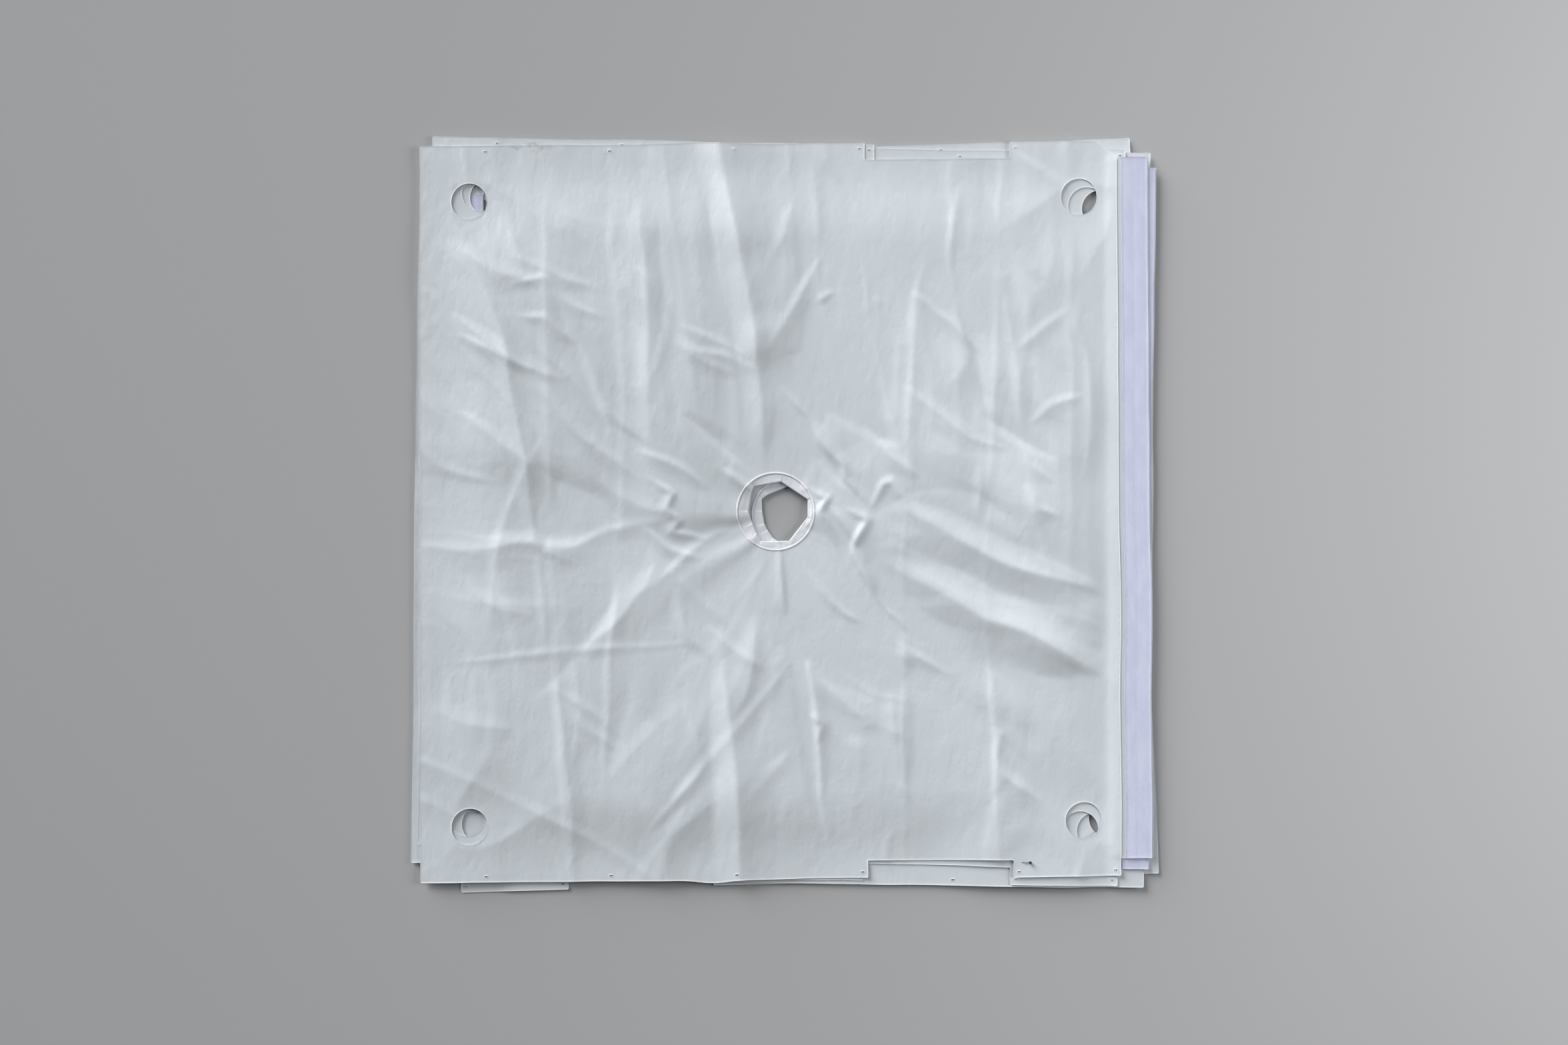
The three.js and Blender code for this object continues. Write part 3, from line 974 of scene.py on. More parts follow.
def dress(
    piece: bpy.types.Object, finish: bpy.types.Material, body: str = "", stands_for: str = ""
) -> None:
    """Gives a piece its material and says what it is in the CAD model.

    Args:
        piece: The piece.
        finish: Its material.
        body: The CAD body that it rides on, or nothing, which leaves it unattached.
        stands_for: The CAD node that it replaces, or nothing.
    """
    piece.data.materials.append(finish)
    if body:
        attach(piece, body)
    if stands_for:
        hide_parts(stands_for)


def smooth(piece: bpy.types.Object, degrees: float) -> None:
    """Shades a piece smooth, with edges sharper than an angle kept crisp."""
    make_active(piece)
    bpy.ops.object.shade_smooth_by_angle(angle=math.radians(degrees))


def give_values(piece: bpy.types.Object, name: str, values: np.ndarray) -> None:
    """Stores one number per vertex on a piece for its material to read."""
    attribute = piece.data.attributes.new(name, "FLOAT", "POINT")
    attribute.data.foreach_set("value", np.asarray(values, np.float32))


@dataclass(frozen=True)
class SheetMaker:
    """Turns a flat cut into a closed, laid sheet of cloth."""

    lay: Lay
    relief: StackRelief
    level: int
    base: float  # height of the sheet's upper face where the stack lies flat
    thickness: float = CUT.thickness
    lip: float = 0.35  # how far a cut edge stands up
    lip_width: float = 1.4

    def make(
        self,
        name: str,
        cut: FlatSheet,
        pitch: float,
        under_pitch: float,
        extra: Rise | None = None,
        rims: tuple[float, ...] = (1.2, 3.0),
    ) -> bpy.types.Object:
        """Builds the sheet.

        Args:
            name: The piece's name.
            cut: The sheet's outline.
            pitch: Spacing of points on its upper face.
            under_pitch: Spacing of points on its underside.
            extra: A function of flat places that adds height, or None.
            rims: Distances in from the edges at which rows of points follow them.

        Returns:
            The sheet's object.
        """
        points, faces, counts = cut.triangles(pitch, pitch, rims)
        under, under_faces, _ = cut.triangles(pitch, under_pitch, ())
        border = sum(counts)
        edge = self._edge_share(points, border)
        top = self._laid(points, self.lip * edge, extra, 0.0)
        bottom = self._laid(under, None, extra, under_pitch * 0.6)
        bottom[:border, 2] = top[:border, 2] - self.lip
        bottom[:, 2] -= self.thickness
        count = len(top)
        all_faces = [list(face) for face in faces]
        all_faces += [[count + i for i in reversed(face)] for face in under_faces]
        base = 0
        for size in counts:
            for i in range(size):
                a, b = base + i, base + (i + 1) % size
                all_faces.append([count + a, count + b, b, a])
            base += size
        piece = new_object(name, np.vstack([top, bottom]), all_faces)
        give_values(piece, "rim", np.concatenate([edge, self._edge_share(under, border)]))
        smooth(piece, 55)
        return piece

    def heights(self, points: np.ndarray, extra: Rise | None = None) -> np.ndarray:
        """Flat places on the sheet as places in the frame on its upper face."""
        return self._laid(points, None, extra, 0.0)

    def _edge_share(self, points: np.ndarray, border: int) -> np.ndarray:
        """1 at the sheet's edges and 0 away from them."""
        tree = kdtree.KDTree(border)
        for index in range(border):
            tree.insert((points[index, 0], points[index, 1], 0.0), index)
        tree.balance()
        far = np.array([tree.find((x, y, 0.0))[2] for x, y in points])
        return np.clip(1 - far / self.lip_width, 0, 1)

    def _laid(
        self, points: np.ndarray, lift: np.ndarray | None, extra: Rise | None, sink_radius: float
    ) -> np.ndarray:
        """Places in the frame; a sink radius takes the lowest height round each place."""
        placed = self.lay.place(points)
        x, y = placed[:, 0], placed[:, 1]
        z = self.relief.height(self.level, x, y)
        if sink_radius:
            for turn in range(6):
                angle = turn * math.pi / 3
                dx, dy = sink_radius * math.cos(angle), sink_radius * math.sin(angle)
                z = np.minimum(z, self.relief.height(self.level, x + dx, y + dy))
        z = z + self.base
        if lift is not None:
            z = z + lift
        if extra is not None:
            z = z + extra(points)
        return np.column_stack([x, y, z])


# ---- Shader helpers -------------------------------------------------------------------


class Tree:
    """Adds nodes to a material or a node group, and links them."""

    def __init__(self, tree: bpy.types.NodeTree) -> None:
        """Takes the tree to fill and clears it."""
        self.tree = tree
        tree.nodes.clear()

    def add(self, kind: str, inputs: dict | None = None, **settings) -> bpy.types.Node:
        """Adds one node.

        Args:
            kind: The node's class name, without ShaderNode where it starts so.
            inputs: Values or output sockets for its inputs, by name or index.
            **settings: Its other properties.

        Returns:
            The node.
        """
        node = self.tree.nodes.new(kind if kind.startswith("Node") else "ShaderNode" + kind)
        for name, value in settings.items():
            setattr(node, name, value)
        for name, value in (inputs or {}).items():
            socket = node.inputs[name]
            if isinstance(value, bpy.types.NodeSocket):
                self.tree.links.new(value, socket)
            else:
                socket.default_value = value
        return node

    def math(self, operation: str, *values) -> bpy.types.NodeSocket:
        """One Math node's result."""
        return self.add("Math", dict(enumerate(values)), operation=operation).outputs[0]

    def spread(
        self, value, low: float, high: float, to_low: float = 0.0, to_high: float = 1.0
    ) -> bpy.types.NodeSocket:
        """A value mapped smoothly from one range to another."""
        inputs = {"Value": value, "From Min": low, "From Max": high, "To Min": to_low, "To Max": to_high}
        return self.add("MapRange", inputs, interpolation_type="SMOOTHSTEP").outputs[0]

    def noise(
        self, place: bpy.types.NodeSocket, scale, detail: float, roughness: float = 0.5
    ) -> bpy.types.NodeSocket:
        """A noise's value."""
        inputs = {"Vector": place, "Scale": scale, "Detail": detail, "Roughness": roughness}
        return self.add("TexNoise", inputs).outputs[0]

    def surface(self, inputs: dict) -> None:
        """Adds the surface's shader and the output."""
        shader = self.add("BsdfPrincipled", inputs)
        self.add("OutputMaterial", {"Surface": shader.outputs[0]})

    def mix(self, share, first, second) -> bpy.types.NodeSocket:
        """Two colours mixed."""
        node = self.add("Mix", data_type="RGBA")
        for index, value in ((0, share), (6, first), (7, second)):
            if isinstance(value, bpy.types.NodeSocket):
                self.tree.links.new(value, node.inputs[index])
            else:
                node.inputs[index].default_value = value
        return node.outputs[2]


def colour(red: float, green: float, blue: float) -> tuple[float, float, float, float]:
    """A screen colour from 0 to 255 as the linear colour that shaders take."""

    def linear(value: float) -> float:
        """One channel."""
        share = value / 255
        return share / 12.92 if share <= 0.04045 else ((share + 0.055) / 1.055) ** 2.4

    return (linear(red), linear(green), linear(blue), 1.0)


def new_material(name: str) -> tuple[bpy.types.Material, Tree]:
    """Starts a material, with the helper that fills its tree."""
    made = bpy.data.materials.new(name)
    made.use_nodes = True
    return made, Tree(made.node_tree)


def node_group(
    name: str, inputs: dict[str, float], outputs: tuple[str, ...]
) -> tuple[bpy.types.NodeTree, Tree, bpy.types.Node, bpy.types.Node]:
    """Starts a shader node group.

    Args:
        name: The group's name.
        inputs: Its number inputs and their defaults.
        outputs: Names of its number outputs.

    Returns:
        The group, its Tree helper, its input node and its output node.
    """
    group = bpy.data.node_groups.new(name, "ShaderNodeTree")
    kind = "NodeSocketFloat"
    for key, value in inputs.items():
        group.interface.new_socket(name=key, in_out="INPUT", socket_type=kind).default_value = value
    for key in outputs:
        group.interface.new_socket(name=key, in_out="OUTPUT", socket_type=kind)
    tree = Tree(group)
    return group, tree, tree.add("NodeGroupInput"), tree.add("NodeGroupOutput")


class Effects:
    """The shader node groups that the finishes share."""

    def __init__(self) -> None:
        """Builds each group once."""
        self.weave = self._weave()
        self.crush = self._crush()
        self.handling = self._handling()

    @staticmethod
    def _weave() -> bpy.types.NodeTree:
        """Warp and weft threads as a height, and how they shade the cloth."""
        inputs = {"Threads": 900.0, "Slant": 0.35}
        group, tree, given, out = node_group("woven_threads", inputs, ("Height", "Shade"))
        place = tree.add("TexCoord").outputs["Object"]
        split = tree.add("SeparateXYZ", {0: place})
        across = tree.math("MULTIPLY", split.outputs["X"], given.outputs["Threads"])
        up = tree.math("MULTIPLY", split.outputs["Y"], given.outputs["Threads"])
        slanted = tree.math("ADD", across, tree.math("MULTIPLY", up, given.outputs["Slant"]))
        warp = tree.math("SINE", tree.math("MULTIPLY", slanted, 2 * math.pi))
        weft = tree.math("SINE", tree.math("MULTIPLY", up, 1.3 * math.pi))
        height = tree.math("ADD", tree.math("MULTIPLY", warp, 0.6), tree.math("MULTIPLY", weft, 0.4))
        slubs = tree.noise(place, 260.0, 2.0)
        tree.tree.links.new(height, out.inputs["Height"])
        tree.tree.links.new(tree.spread(slubs, 0.3, 0.7), out.inputs["Shade"])
        return group

    @staticmethod
    def _crush() -> bpy.types.NodeTree:
        """Small handling wrinkles, finer than the mesh, as a height."""
        group, tree, given, out = node_group("crushed_cloth", {"Scale": 26.0}, ("Height",))
        place = tree.add("TexCoord").outputs["Object"]
        stretched = tree.add("Mapping", {"Vector": place, "Scale": (1.0, 0.55, 1.0)}).outputs[0]
        broad = tree.noise(stretched, given.outputs["Scale"], 4.0)
        crest = tree.math("ABSOLUTE", tree.math("SUBTRACT", broad, 0.5))
        tree.tree.links.new(tree.spread(crest, 0.0, 0.22, 1.0, 0.0), out.inputs["Height"])
        return group

    @staticmethod
    def _handling() -> bpy.types.NodeTree:
        """Faint grey marks where the cloth was handled near its upper left edge."""
        group, tree, given, out = node_group("handling_marks", {"Amount": 1.0}, ("Mask",))
        place = tree.add("TexCoord").outputs["Object"]
        split = tree.add("SeparateXYZ", {0: place})
        spots = tree.noise(place, 75.0, 5.0, 0.65)
        mask = None
        for x, y, wide, high in ((-0.425, 0.612, 0.060, 0.016), (-0.295, 0.606, 0.016, 0.018)):
            dx = tree.math("DIVIDE", tree.math("SUBTRACT", split.outputs["X"], x), wide)
            dy = tree.math("DIVIDE", tree.math("SUBTRACT", split.outputs["Y"], y), high)
            squares = tree.math("ADD", tree.math("POWER", dx, 2.0), tree.math("POWER", dy, 2.0))
            patch = tree.spread(tree.math("SQRT", squares), 0.2, 1.0, 1.0, 0.0)
            mask = patch if mask is None else tree.math("MAXIMUM", mask, patch)
        speckled = tree.math("MULTIPLY", mask, tree.spread(spots, 0.5, 0.68))
        scaled = tree.math("MULTIPLY", speckled, given.outputs["Amount"])
        tree.tree.links.new(scaled, out.inputs["Mask"])
        return group


@dataclass(frozen=True)
class ClothFinish:
    """A woven polypropylene cloth."""

    name: str
    tone: tuple[float, float, float]
    edge_tone: tuple[float, float, float]
    mark_tone: tuple[float, float, float] = (150, 146, 146)
    threads: float = 900.0
    crush_scale: float = 26.0
    crush_depth: float = 0.0007
    roughness: float = 0.3
    sheen: float = 0.1
    marks: float = 0.5

    def material(self, effects: Effects) -> bpy.types.Material:
        """Builds the material.

        Args:
            effects: The shared node groups.

        Returns:
            The finished material.
        """
        made, tree = new_material(self.name)
        weave = tree.add("Group", node_tree=effects.weave, inputs={"Threads": self.threads})
        crush = tree.add("Group", node_tree=effects.crush, inputs={"Scale": self.crush_scale})
        marks = tree.add("Group", node_tree=effects.handling, inputs={"Amount": self.marks})
        place = tree.add("TexCoord").outputs["Object"]
        rim = tree.add("Attribute", attribute_name="rim").outputs["Fac"]
        cloud = tree.noise(place, 5.5, 3.0)
        ground = colour(*self.tone)
        shaded = tuple(value * 0.955 for value in ground[:3]) + (1.0,)
        base = tree.mix(tree.spread(cloud, 0.35, 0.65), ground, shaded)
        base = tree.mix(tree.math("MULTIPLY", weave.outputs["Shade"], 0.05), base, shaded)
        base = tree.mix(marks.outputs["Mask"], base, colour(*self.mark_tone))
        base = tree.mix(tree.math("MULTIPLY", rim, 0.8), base, colour(*self.edge_tone))
        fine = tree.add("Bump", {"Height": weave.outputs["Height"], "Distance": 0.000012, "Strength": 0.6})
        creases = {"Height": crush.outputs["Height"], "Distance": self.crush_depth, "Strength": 0.45}
        creased = tree.add("Bump", {**creases, "Normal": fine.outputs[0]})
        tree.surface(
            {
                "Base Color": base,
                "Roughness": tree.spread(cloud, 0.3, 0.7, self.roughness - 0.03, self.roughness + 0.05),
                "Normal": creased.outputs[0],
                "Sheen Weight": self.sheen,
                "Sheen Roughness": 0.4,
                "IOR": 1.49,
            }
        )
        return made


@dataclass(frozen=True)
class LoopTapeFinish:
    """The brushed pile of a loop tape."""

    name: str = "loop_pile"
    tone: tuple[float, float, float] = (202, 206, 230)
    dark_tone: tuple[float, float, float] = (194, 198, 224)
    light_tone: tuple[float, float, float] = (222, 224, 240)
    pile_scale: float = 900.0
    pile_depth: float = 0.0004

    def material(self, effects: Effects) -> bpy.types.Material:
        """Builds the material."""
        made, tree = new_material(self.name)
        place = tree.add("TexCoord").outputs["Object"]
        weave = tree.add("Group", node_tree=effects.weave, inputs={"Threads": 520.0, "Slant": 0.0})
        pile = tree.noise(place, self.pile_scale, 3.0, 0.7)
        brushed = tree.add("Mapping", {"Vector": place, "Scale": (1.0, 0.35, 1.0)}).outputs[0]
        nap = tree.noise(brushed, 60.0, 3.0)
        base = tree.mix(tree.spread(nap, 0.35, 0.65), colour(*self.tone), colour(*self.dark_tone))
        base = tree.mix(tree.spread(pile, 0.3, 0.75, 0.0, 0.35), base, colour(*self.light_tone))
        threads = tree.math("MULTIPLY", weave.outputs["Height"], 0.15)
        loops = tree.math("ADD", tree.math("MULTIPLY", pile, 0.8), threads)
        bump = tree.add("Bump", {"Height": loops, "Distance": self.pile_depth, "Strength": 0.7})
        tree.surface(
            {
                "Base Color": base,
                "Roughness": tree.spread(nap, 0.3, 0.7, 0.82, 0.95),
                "Normal": bump.outputs[0],
                "Sheen Weight": 0.35,
                "Sheen Roughness": 0.6,
            }
        )
        return made


@dataclass(frozen=True)
class PlainFinish:
    """A hard finish that varies a little between two tones, or is plain where its scale is 0."""

    name: str
    tone: tuple[float, float, float]
    second_tone: tuple[float, float, float]
    scale: float
    roughness: float
    metallic: float = 0.0
    bump: float = 0.0
    coat: float = 0.0

    def material(self) -> bpy.types.Material:
        """Builds the material."""
        made, tree = new_material(self.name)
        if not self.scale:
            tree.surface({"Base Color": colour(*self.tone), "Roughness": self.roughness})
            return made
        place = tree.add("TexCoord").outputs["Object"]
        grain = tree.noise(place, self.scale, 4.0)
        base = tree.mix(tree.spread(grain, 0.35, 0.65), colour(*self.tone), colour(*self.second_tone))
        bump = tree.add("Bump", {"Height": grain, "Distance": self.bump, "Strength": 0.5})
        tree.surface(
            {
                "Base Color": base,
                "Roughness": tree.spread(grain, 0.3, 0.7, self.roughness * 0.85, self.roughness * 1.15),
                "Normal": bump.outputs[0],
                "Metallic": self.metallic,
                "Coat Weight": self.coat,
            }
        )
        return made


class Finishes:
    """Every material of the set, built once."""

    def __init__(self) -> None:
        """Builds the shared groups and the materials."""
        effects = Effects()
        self.cloth = ClothFinish("satin_cloth", (213, 220, 225), (242, 246, 248)).material(effects)
        self.seam = ClothFinish(
            "seam_cloth", (226, 231, 236), (246, 249, 251), crush_scale=60.0, roughness=0.55, marks=0.0
        ).material(effects)
        self.neck = ClothFinish(
            "neck_cloth", (226, 230, 236), (242, 245, 248), crush_scale=45.0, roughness=0.5, marks=0.0
        ).material(effects)
        self.tape = LoopTapeFinish().material(effects)
        self.thread = PlainFinish(
            "sewing_thread", (232, 234, 242), (214, 216, 230), 900.0, 0.55, bump=0.0001
        ).material()
        self.steel = PlainFinish(
            "pin_steel", (118, 120, 126), (96, 98, 104), 300.0, 0.3, metallic=1.0
        ).material()
        self.bead = PlainFinish("glass_bead", (16, 17, 22), (22, 23, 30), 200.0, 0.12, coat=1.0).material()
        grey = (176, 177, 178)
        self.floor = PlainFinish("studio_floor", grey, grey, 0.0, 0.95).material()


# ---- Pieces ---------------------------------------------------------------------------


@dataclass(frozen=True)
class PanelPlan:
    """What makes one panel of the stack different from the others."""

    name: str
    level: int
    hand: Hand
    manner: FlapManner
    turn: float
    strays: dict[str, Point | tuple[Pull, ...]] = field(default_factory=dict)
    pitch: float = 7.5
    turned_corner: bool = False
    tucked_corner: Point | None = None
    flap_skew: float = 0.0  # how much further in a folded flap lies at its top
    tape_short: float = 0.0  # how far below the flap's upper end the tape stops
    tape_raised: float = 0.0  # how far above the flap's lower end the tape starts
    rests_on: str = "floor"
    flap_body: str = ""

    @property
    def body(self) -> str:
        """The CAD body that the panel rides on."""
        return self.name

    @property
    def body_of_flap(self) -> str:
        """The CAD body that the panel's tape rides on, and its flap too where no flap body is given."""
        return self.flap_body or self.body


PLANS = (
    PanelPlan(
        "lower_back", 0, Hand.LEFT, FlapManner.FOLDED_OVER, 1.8,
        {"top_right": (-9.5, -1.0), "bottom_left": (6.0, 3.5)},
        flap_skew=27.0,
        tape_short=31.0,
        tape_raised=104.0,
    ),
    PanelPlan(
        "lower_front", 1, Hand.LEFT, FlapManner.TAPE_DOWN, -0.8,
        {
            "top_left": (0.0, 3.0),
            "top_right": (-3.0, -1.0),
            "bottom_left": (2.0, -4.0),
            "bottom_right": (1.5, 0.5),
        },
        rests_on="lower_back_panel",
    ),
    PanelPlan(
        "upper_back", 2, Hand.RIGHT, FlapManner.TAPE_UP, -0.9,
        {"top_left": (8.0, 3.5), "top_right": (-8.5, -2.5), "bottom_right": (-1.0, -2.0)},
        tucked_corner=(110.0, 50.0),
        rests_on="lower_front_panel",
    ),
    PanelPlan(
        "upper_front", 3, Hand.RIGHT, FlapManner.TAPE_UP, 0.35,
        {
            "top_left": (5.5, -1.5),
            "top_right": (-3.5, 1.5),
            "bottom_left": (-1.5, -2.0),
            "bottom_right": (-2.0, 3.0),
            "pulls": (Pull((-118, -606), (0, -5), 32), Pull((-127, 616), (0, 2.5), 60)),
        },
        pitch=4.4,
        turned_corner=True,
        rests_on="upper_back_panel",
        flap_body="side_flap",
    ),
)


class PressCloth:
    """One panel with its flap, loop tape, stitching and seam ring."""

    FLAP_TUCK = 6.0  # cloth of the flap that lies under the panel's edge
    LAP = 1.0  # how far the panel's edge rides over the flap
    SEAM_GAP = 0.3  # between the panel's edge and the line that its flap is sewn on
    RING_GAP = 0.3  # between a panel's face and its seam ring in the CAD model
    FLAP_WIDTH = 52.0
    TAPE_WIDTH = 43.0
    TAPE_IN = 2.0
    TAPE_THICKNESS = 1.1
    STITCH_PITCH = 4.4
    SEAM_RING_WIDTH = 2.8
    SEAM_STITCHES = 70
    HINGE_HEIGHT = 0.0125  # metres
    SLOT_CLEAR = 10.0  # a tie slot nearer than this to a tucked corner is left out

    def __init__(self, plan: PanelPlan, relief: StackRelief, finishes: Finishes) -> None:
        """Finds where the panel lies from its CAD nodes.

        Args:
            plan: The panel's own facts.
            relief: The stack's shared relief.
            finishes: The materials.
        """
        self.plan, self.relief, self.finishes = plan, relief, finishes
        low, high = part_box(f"{plan.name}_seam_ring")
        middle = (low + high) / 2 / MM
        self.lay = Lay((middle.x, middle.y), plan.turn, seed=plan.level * 7, **plan.strays)
        self.top = self.panel_top(plan)

    @staticmethod
    def panel_top(plan: PanelPlan) -> float:
        """Height of a panel's upper face where the stack lies flat, in millimetres."""
        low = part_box(f"{plan.name}_seam_ring")[0]
        return low.z / MM - PressCloth.RING_GAP

    def build(self) -> bpy.types.Object:
        """Builds every piece of the cloth and returns its panel."""
        panel = self._panel()
        with_panel = [self._seam_ring()]
        if self.plan.turned_corner:
            with_panel.append(self._turned_corner())
        with_panel += self._flap_and_tape()
        return panel

    # -- the panel itself

    def _outline(self) -> list[Point]:
        """The panel's outer loop, anticlockwise."""
        c = CUT
        upper = [(c.flap_side, c.tab_edge)]
        if self.plan.turned_corner:
            upper = [(c.flap_side, c.tab_edge - c.turned_down), (c.flap_side - c.turned_along, c.tab_edge)]
        lower_left = [(-c.free_side, -c.tab_edge)]
        if self.plan.tucked_corner:
            along, down = self.plan.tucked_corner
            lower_left = [(-c.free_side, -c.tab_edge + down), (-c.free_side + along, -c.tab_edge)]
        if self.plan.flap_skew:
            upper = [(c.flap_side - self.plan.flap_skew, c.tab_edge)]
        corners = [
            *lower_left,
            (c.long_tab_end, -c.tab_edge),
            (c.long_tab_end, -c.half_height),
            (c.short_tab_start, -c.half_height),
            (c.short_tab_start, -c.tab_edge),
            (c.flap_side, -c.tab_edge),
            *upper,
            (c.short_tab_start, c.tab_edge),
            (c.short_tab_start, c.half_height),
            (c.long_tab_end, c.half_height),
            (c.long_tab_end, c.tab_edge),
            (-c.free_side, c.tab_edge),
        ]
        return outward(rounded(corners, 2.2), self.plan.hand)

    def _holes(self) -> list[list[Point]]:
        """The feed hole, the corner ports, the tie slots and the pin's slit."""
        c, hand = CUT, self.plan.hand.value
        holes = [ring_points((0.0, 0.0), c.hole / 2, 140)]
        for across in (-1, 1):
            for up in (-1, 1):
                centre = (across * c.port_across / 2, up * c.port_up / 2)
                holes.append(ring_points(centre, c.port / 2, 76))
        for up in (-1, 1):
            for x in c.tie_slots():
                in_turned = self.plan.turned_corner and up > 0 and x > c.flap_side - c.turned_along
                tucked = self.plan.tucked_corner
                in_tucked = tucked and up < 0 and x < -c.free_side + tucked[0] + self.SLOT_CLEAR
                if not in_turned and not in_tucked:
                    holes.append(punched_slot((hand * x, up * (c.tab_edge - c.slot_from_edge))))
        return holes

    def _lap(self, points: np.ndarray) -> np.ndarray:
        """How far the panel rises at the edge that is sewn over its flap."""
        if self.plan.manner is FlapManner.FOLDED_OVER:
            return np.zeros(len(points))
        to_edge = CUT.flap_side - points[:, 0] * self.plan.hand.value
        body_end = np.clip((CUT.half_height + 6 - np.abs(points[:, 1])) / 12, 0, 1)
        return self.LAP * (1 - ease((to_edge - 9) / 16)) * body_end

    def maker(self, top: float, thickness: float = CUT.thickness) -> SheetMaker:
        """A sheet maker for this cloth at one height."""
        return SheetMaker(self.lay, self.relief, self.plan.level, top, thickness)

    def _panel(self) -> bpy.types.Object:
        """The panel."""
        plan = self.plan
        cut = FlatSheet(self._outline(), self._holes())
        under_pitch = max(13.0, plan.pitch * 2)
        panel = self.maker(self.top).make(f"{plan.name}_cloth", cut, plan.pitch, under_pitch, extra=self._lap)
        dress(panel, self.finishes.cloth, plan.body, f"{plan.name}_panel")
        return panel

    def _turned_corner(self) -> bpy.types.Object:
        """The small triangle of cloth that is turned under the panel's upper corner."""
        c = CUT
        start = Vector((c.flap_side - c.turned_along, c.tab_edge))
        end = Vector((c.flap_side, c.tab_edge - c.turned_down))
        corner = Vector((c.flap_side, c.tab_edge))
        along = (end - start).normalized()
        outwards = Vector((-along.y, along.x))
        turned = corner - outwards * 2 * (corner - start).dot(outwards)
        inset = Vector((along.y, -along.x)) * 0.6
        cut = FlatSheet(rounded([tuple(start + inset), tuple(turned), tuple(end + inset)], 1.5))
        maker = self.maker(self.top - c.thickness - 0.25)
        made = maker.make(f"{self.plan.name}_turned_corner", cut, 4.0, 6.0, rims=())
        dress(made, self.finishes.cloth, self.plan.body)
        return made

    def _seam_ring(self) -> bpy.types.Object:
        """The raised seam round the feed hole, with its oversewn stitches."""
        around, section = 280, 12
        maker = self.maker(self.top)
        inner, half = CUT.hole / 2 - 0.3, self.SEAM_RING_WIDTH / 2
        turns = np.linspace(0, 2 * math.pi, around, endpoint=False)
        rows = []
        for step in range(section):
            angle = 2 * math.pi * step / section
            stitch = 1 + 0.16 * np.cos(self.SEAM_STITCHES * turns + 1.3 * math.cos(angle))
            wide = half * (1 + 0.06 * np.sin(9 * turns))
            radius = inner + half + wide * math.cos(angle)
            flat = np.column_stack([radius * np.cos(turns), radius * np.sin(turns)])
            placed = maker.heights(flat)
            placed[:, 2] += 0.42 + 0.5 * math.sin(angle) * stitch
            rows.append(placed)
        vertices = np.vstack(rows)
        faces = tube_faces(section, around, closed=True)
        ring = new_object(f"{self.plan.name}_seam", vertices, faces)
        smooth(ring, 180)
        give_values(ring, "rim", np.full(len(vertices), 0.5))
        dress(ring, self.finishes.seam, self.plan.body, f"{self.plan.name}_seam_ring")
        return ring

    # -- the flap and what is sewn to it

    def _strip(
        self, start: float, end: float, radius: float = 1.5, raised: float = 0.0, short: float = 0.0
    ) -> list[Point]:
        """A strip along the flap side between two distances from the feed hole."""
        skew = self.plan.flap_skew
        height = CUT.half_height
        upper, lower = height - short, raised - height
        lean = skew * raised / (2 * height)
        corners = [(start - lean, lower), (end - lean, lower), (end - skew, upper), (start - skew, upper)]
        return outward(rounded(corners, radius), self.plan.hand)

    def _flap_levels(self) -> tuple[float, float]:
        """Heights of the upper faces of the flap and of the tape."""
        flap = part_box(f"{self.plan.name}_side_flap")
        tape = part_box(f"{self.plan.name}_loop_tape")
        flap_top = flap[0].z / MM + CUT.thickness
        if self.plan.manner is FlapManner.TAPE_DOWN:
            return flap_top, flap_top - CUT.thickness - 0.1
        return flap_top, flap_top + 0.1 + self.TAPE_THICKNESS

    def _flap_and_tape(self) -> list[bpy.types.Object]:
        """The flap, its loop tape and the rows of stitches that hold it."""
        plan = self.plan
        seam = CUT.flap_side + self.SEAM_GAP
        folded = plan.manner is FlapManner.FOLDED_OVER
        if folded:
            flap_from, flap_to = CUT.flap_side - self.FLAP_WIDTH, CUT.flap_side - 0.5
            tape_to = flap_from + self.TAPE_IN + self.TAPE_WIDTH
            tape_from = flap_from + self.TAPE_IN
        else:
            flap_from, flap_to = seam - self.FLAP_TUCK, seam + self.FLAP_WIDTH
            tape_from = seam + self.FLAP_WIDTH - self.TAPE_IN - self.TAPE_WIDTH
            tape_to = tape_from + self.TAPE_WIDTH
        flap_top, tape_top = self._flap_levels()
        cut = FlatSheet(self._strip(flap_from, flap_to))
        flap = self.maker(flap_top).make(f"{plan.name}_flap", cut, 5.0, 7.0, rims=(1.2,))
        rides = "" if plan.flap_body else plan.body
        dress(flap, self.finishes.cloth, rides, f"{plan.name}_side_flap")
        if plan.flap_body:
            bend = np.array([[seam - 1.5, 0.0], [seam + 4.5, 0.0]])
            start, end = ((*place, self.HINGE_HEIGHT) for place in self.lay.place(bend) * MM)
            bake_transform(flap)
        rows = [tape_to - 2.6, tape_from + 21.0, tape_from + 2.6]
        dip = self._stitch_dip(rows)
        ends = (plan.tape_raised, plan.tape_short)
        cut = FlatSheet(self._strip(tape_from, tape_to, 0.8, *ends))
        maker = self.maker(tape_top, self.TAPE_THICKNESS)
        tape = maker.make(f"{plan.name}_tape", cut, 3.4, 7.0, extra=dip, rims=(0.8,))
        dress(tape, self.finishes.tape, plan.body_of_flap, f"{plan.name}_loop_tape")
        made = [flap, tape]
        if plan.manner is not FlapManner.TAPE_DOWN:
            name = f"{plan.name}_tape_stitches"
            made.append(self._stitches(name, rows, ends, tape_top, dip, plan.body_of_flap))
        if not folded:
            name, row = f"{plan.name}_hem_stitches", [CUT.flap_side - 3.0]
            made.append(self._stitches(name, row, (0.0, 0.0), self.top, self._lap, plan.body))
        return made

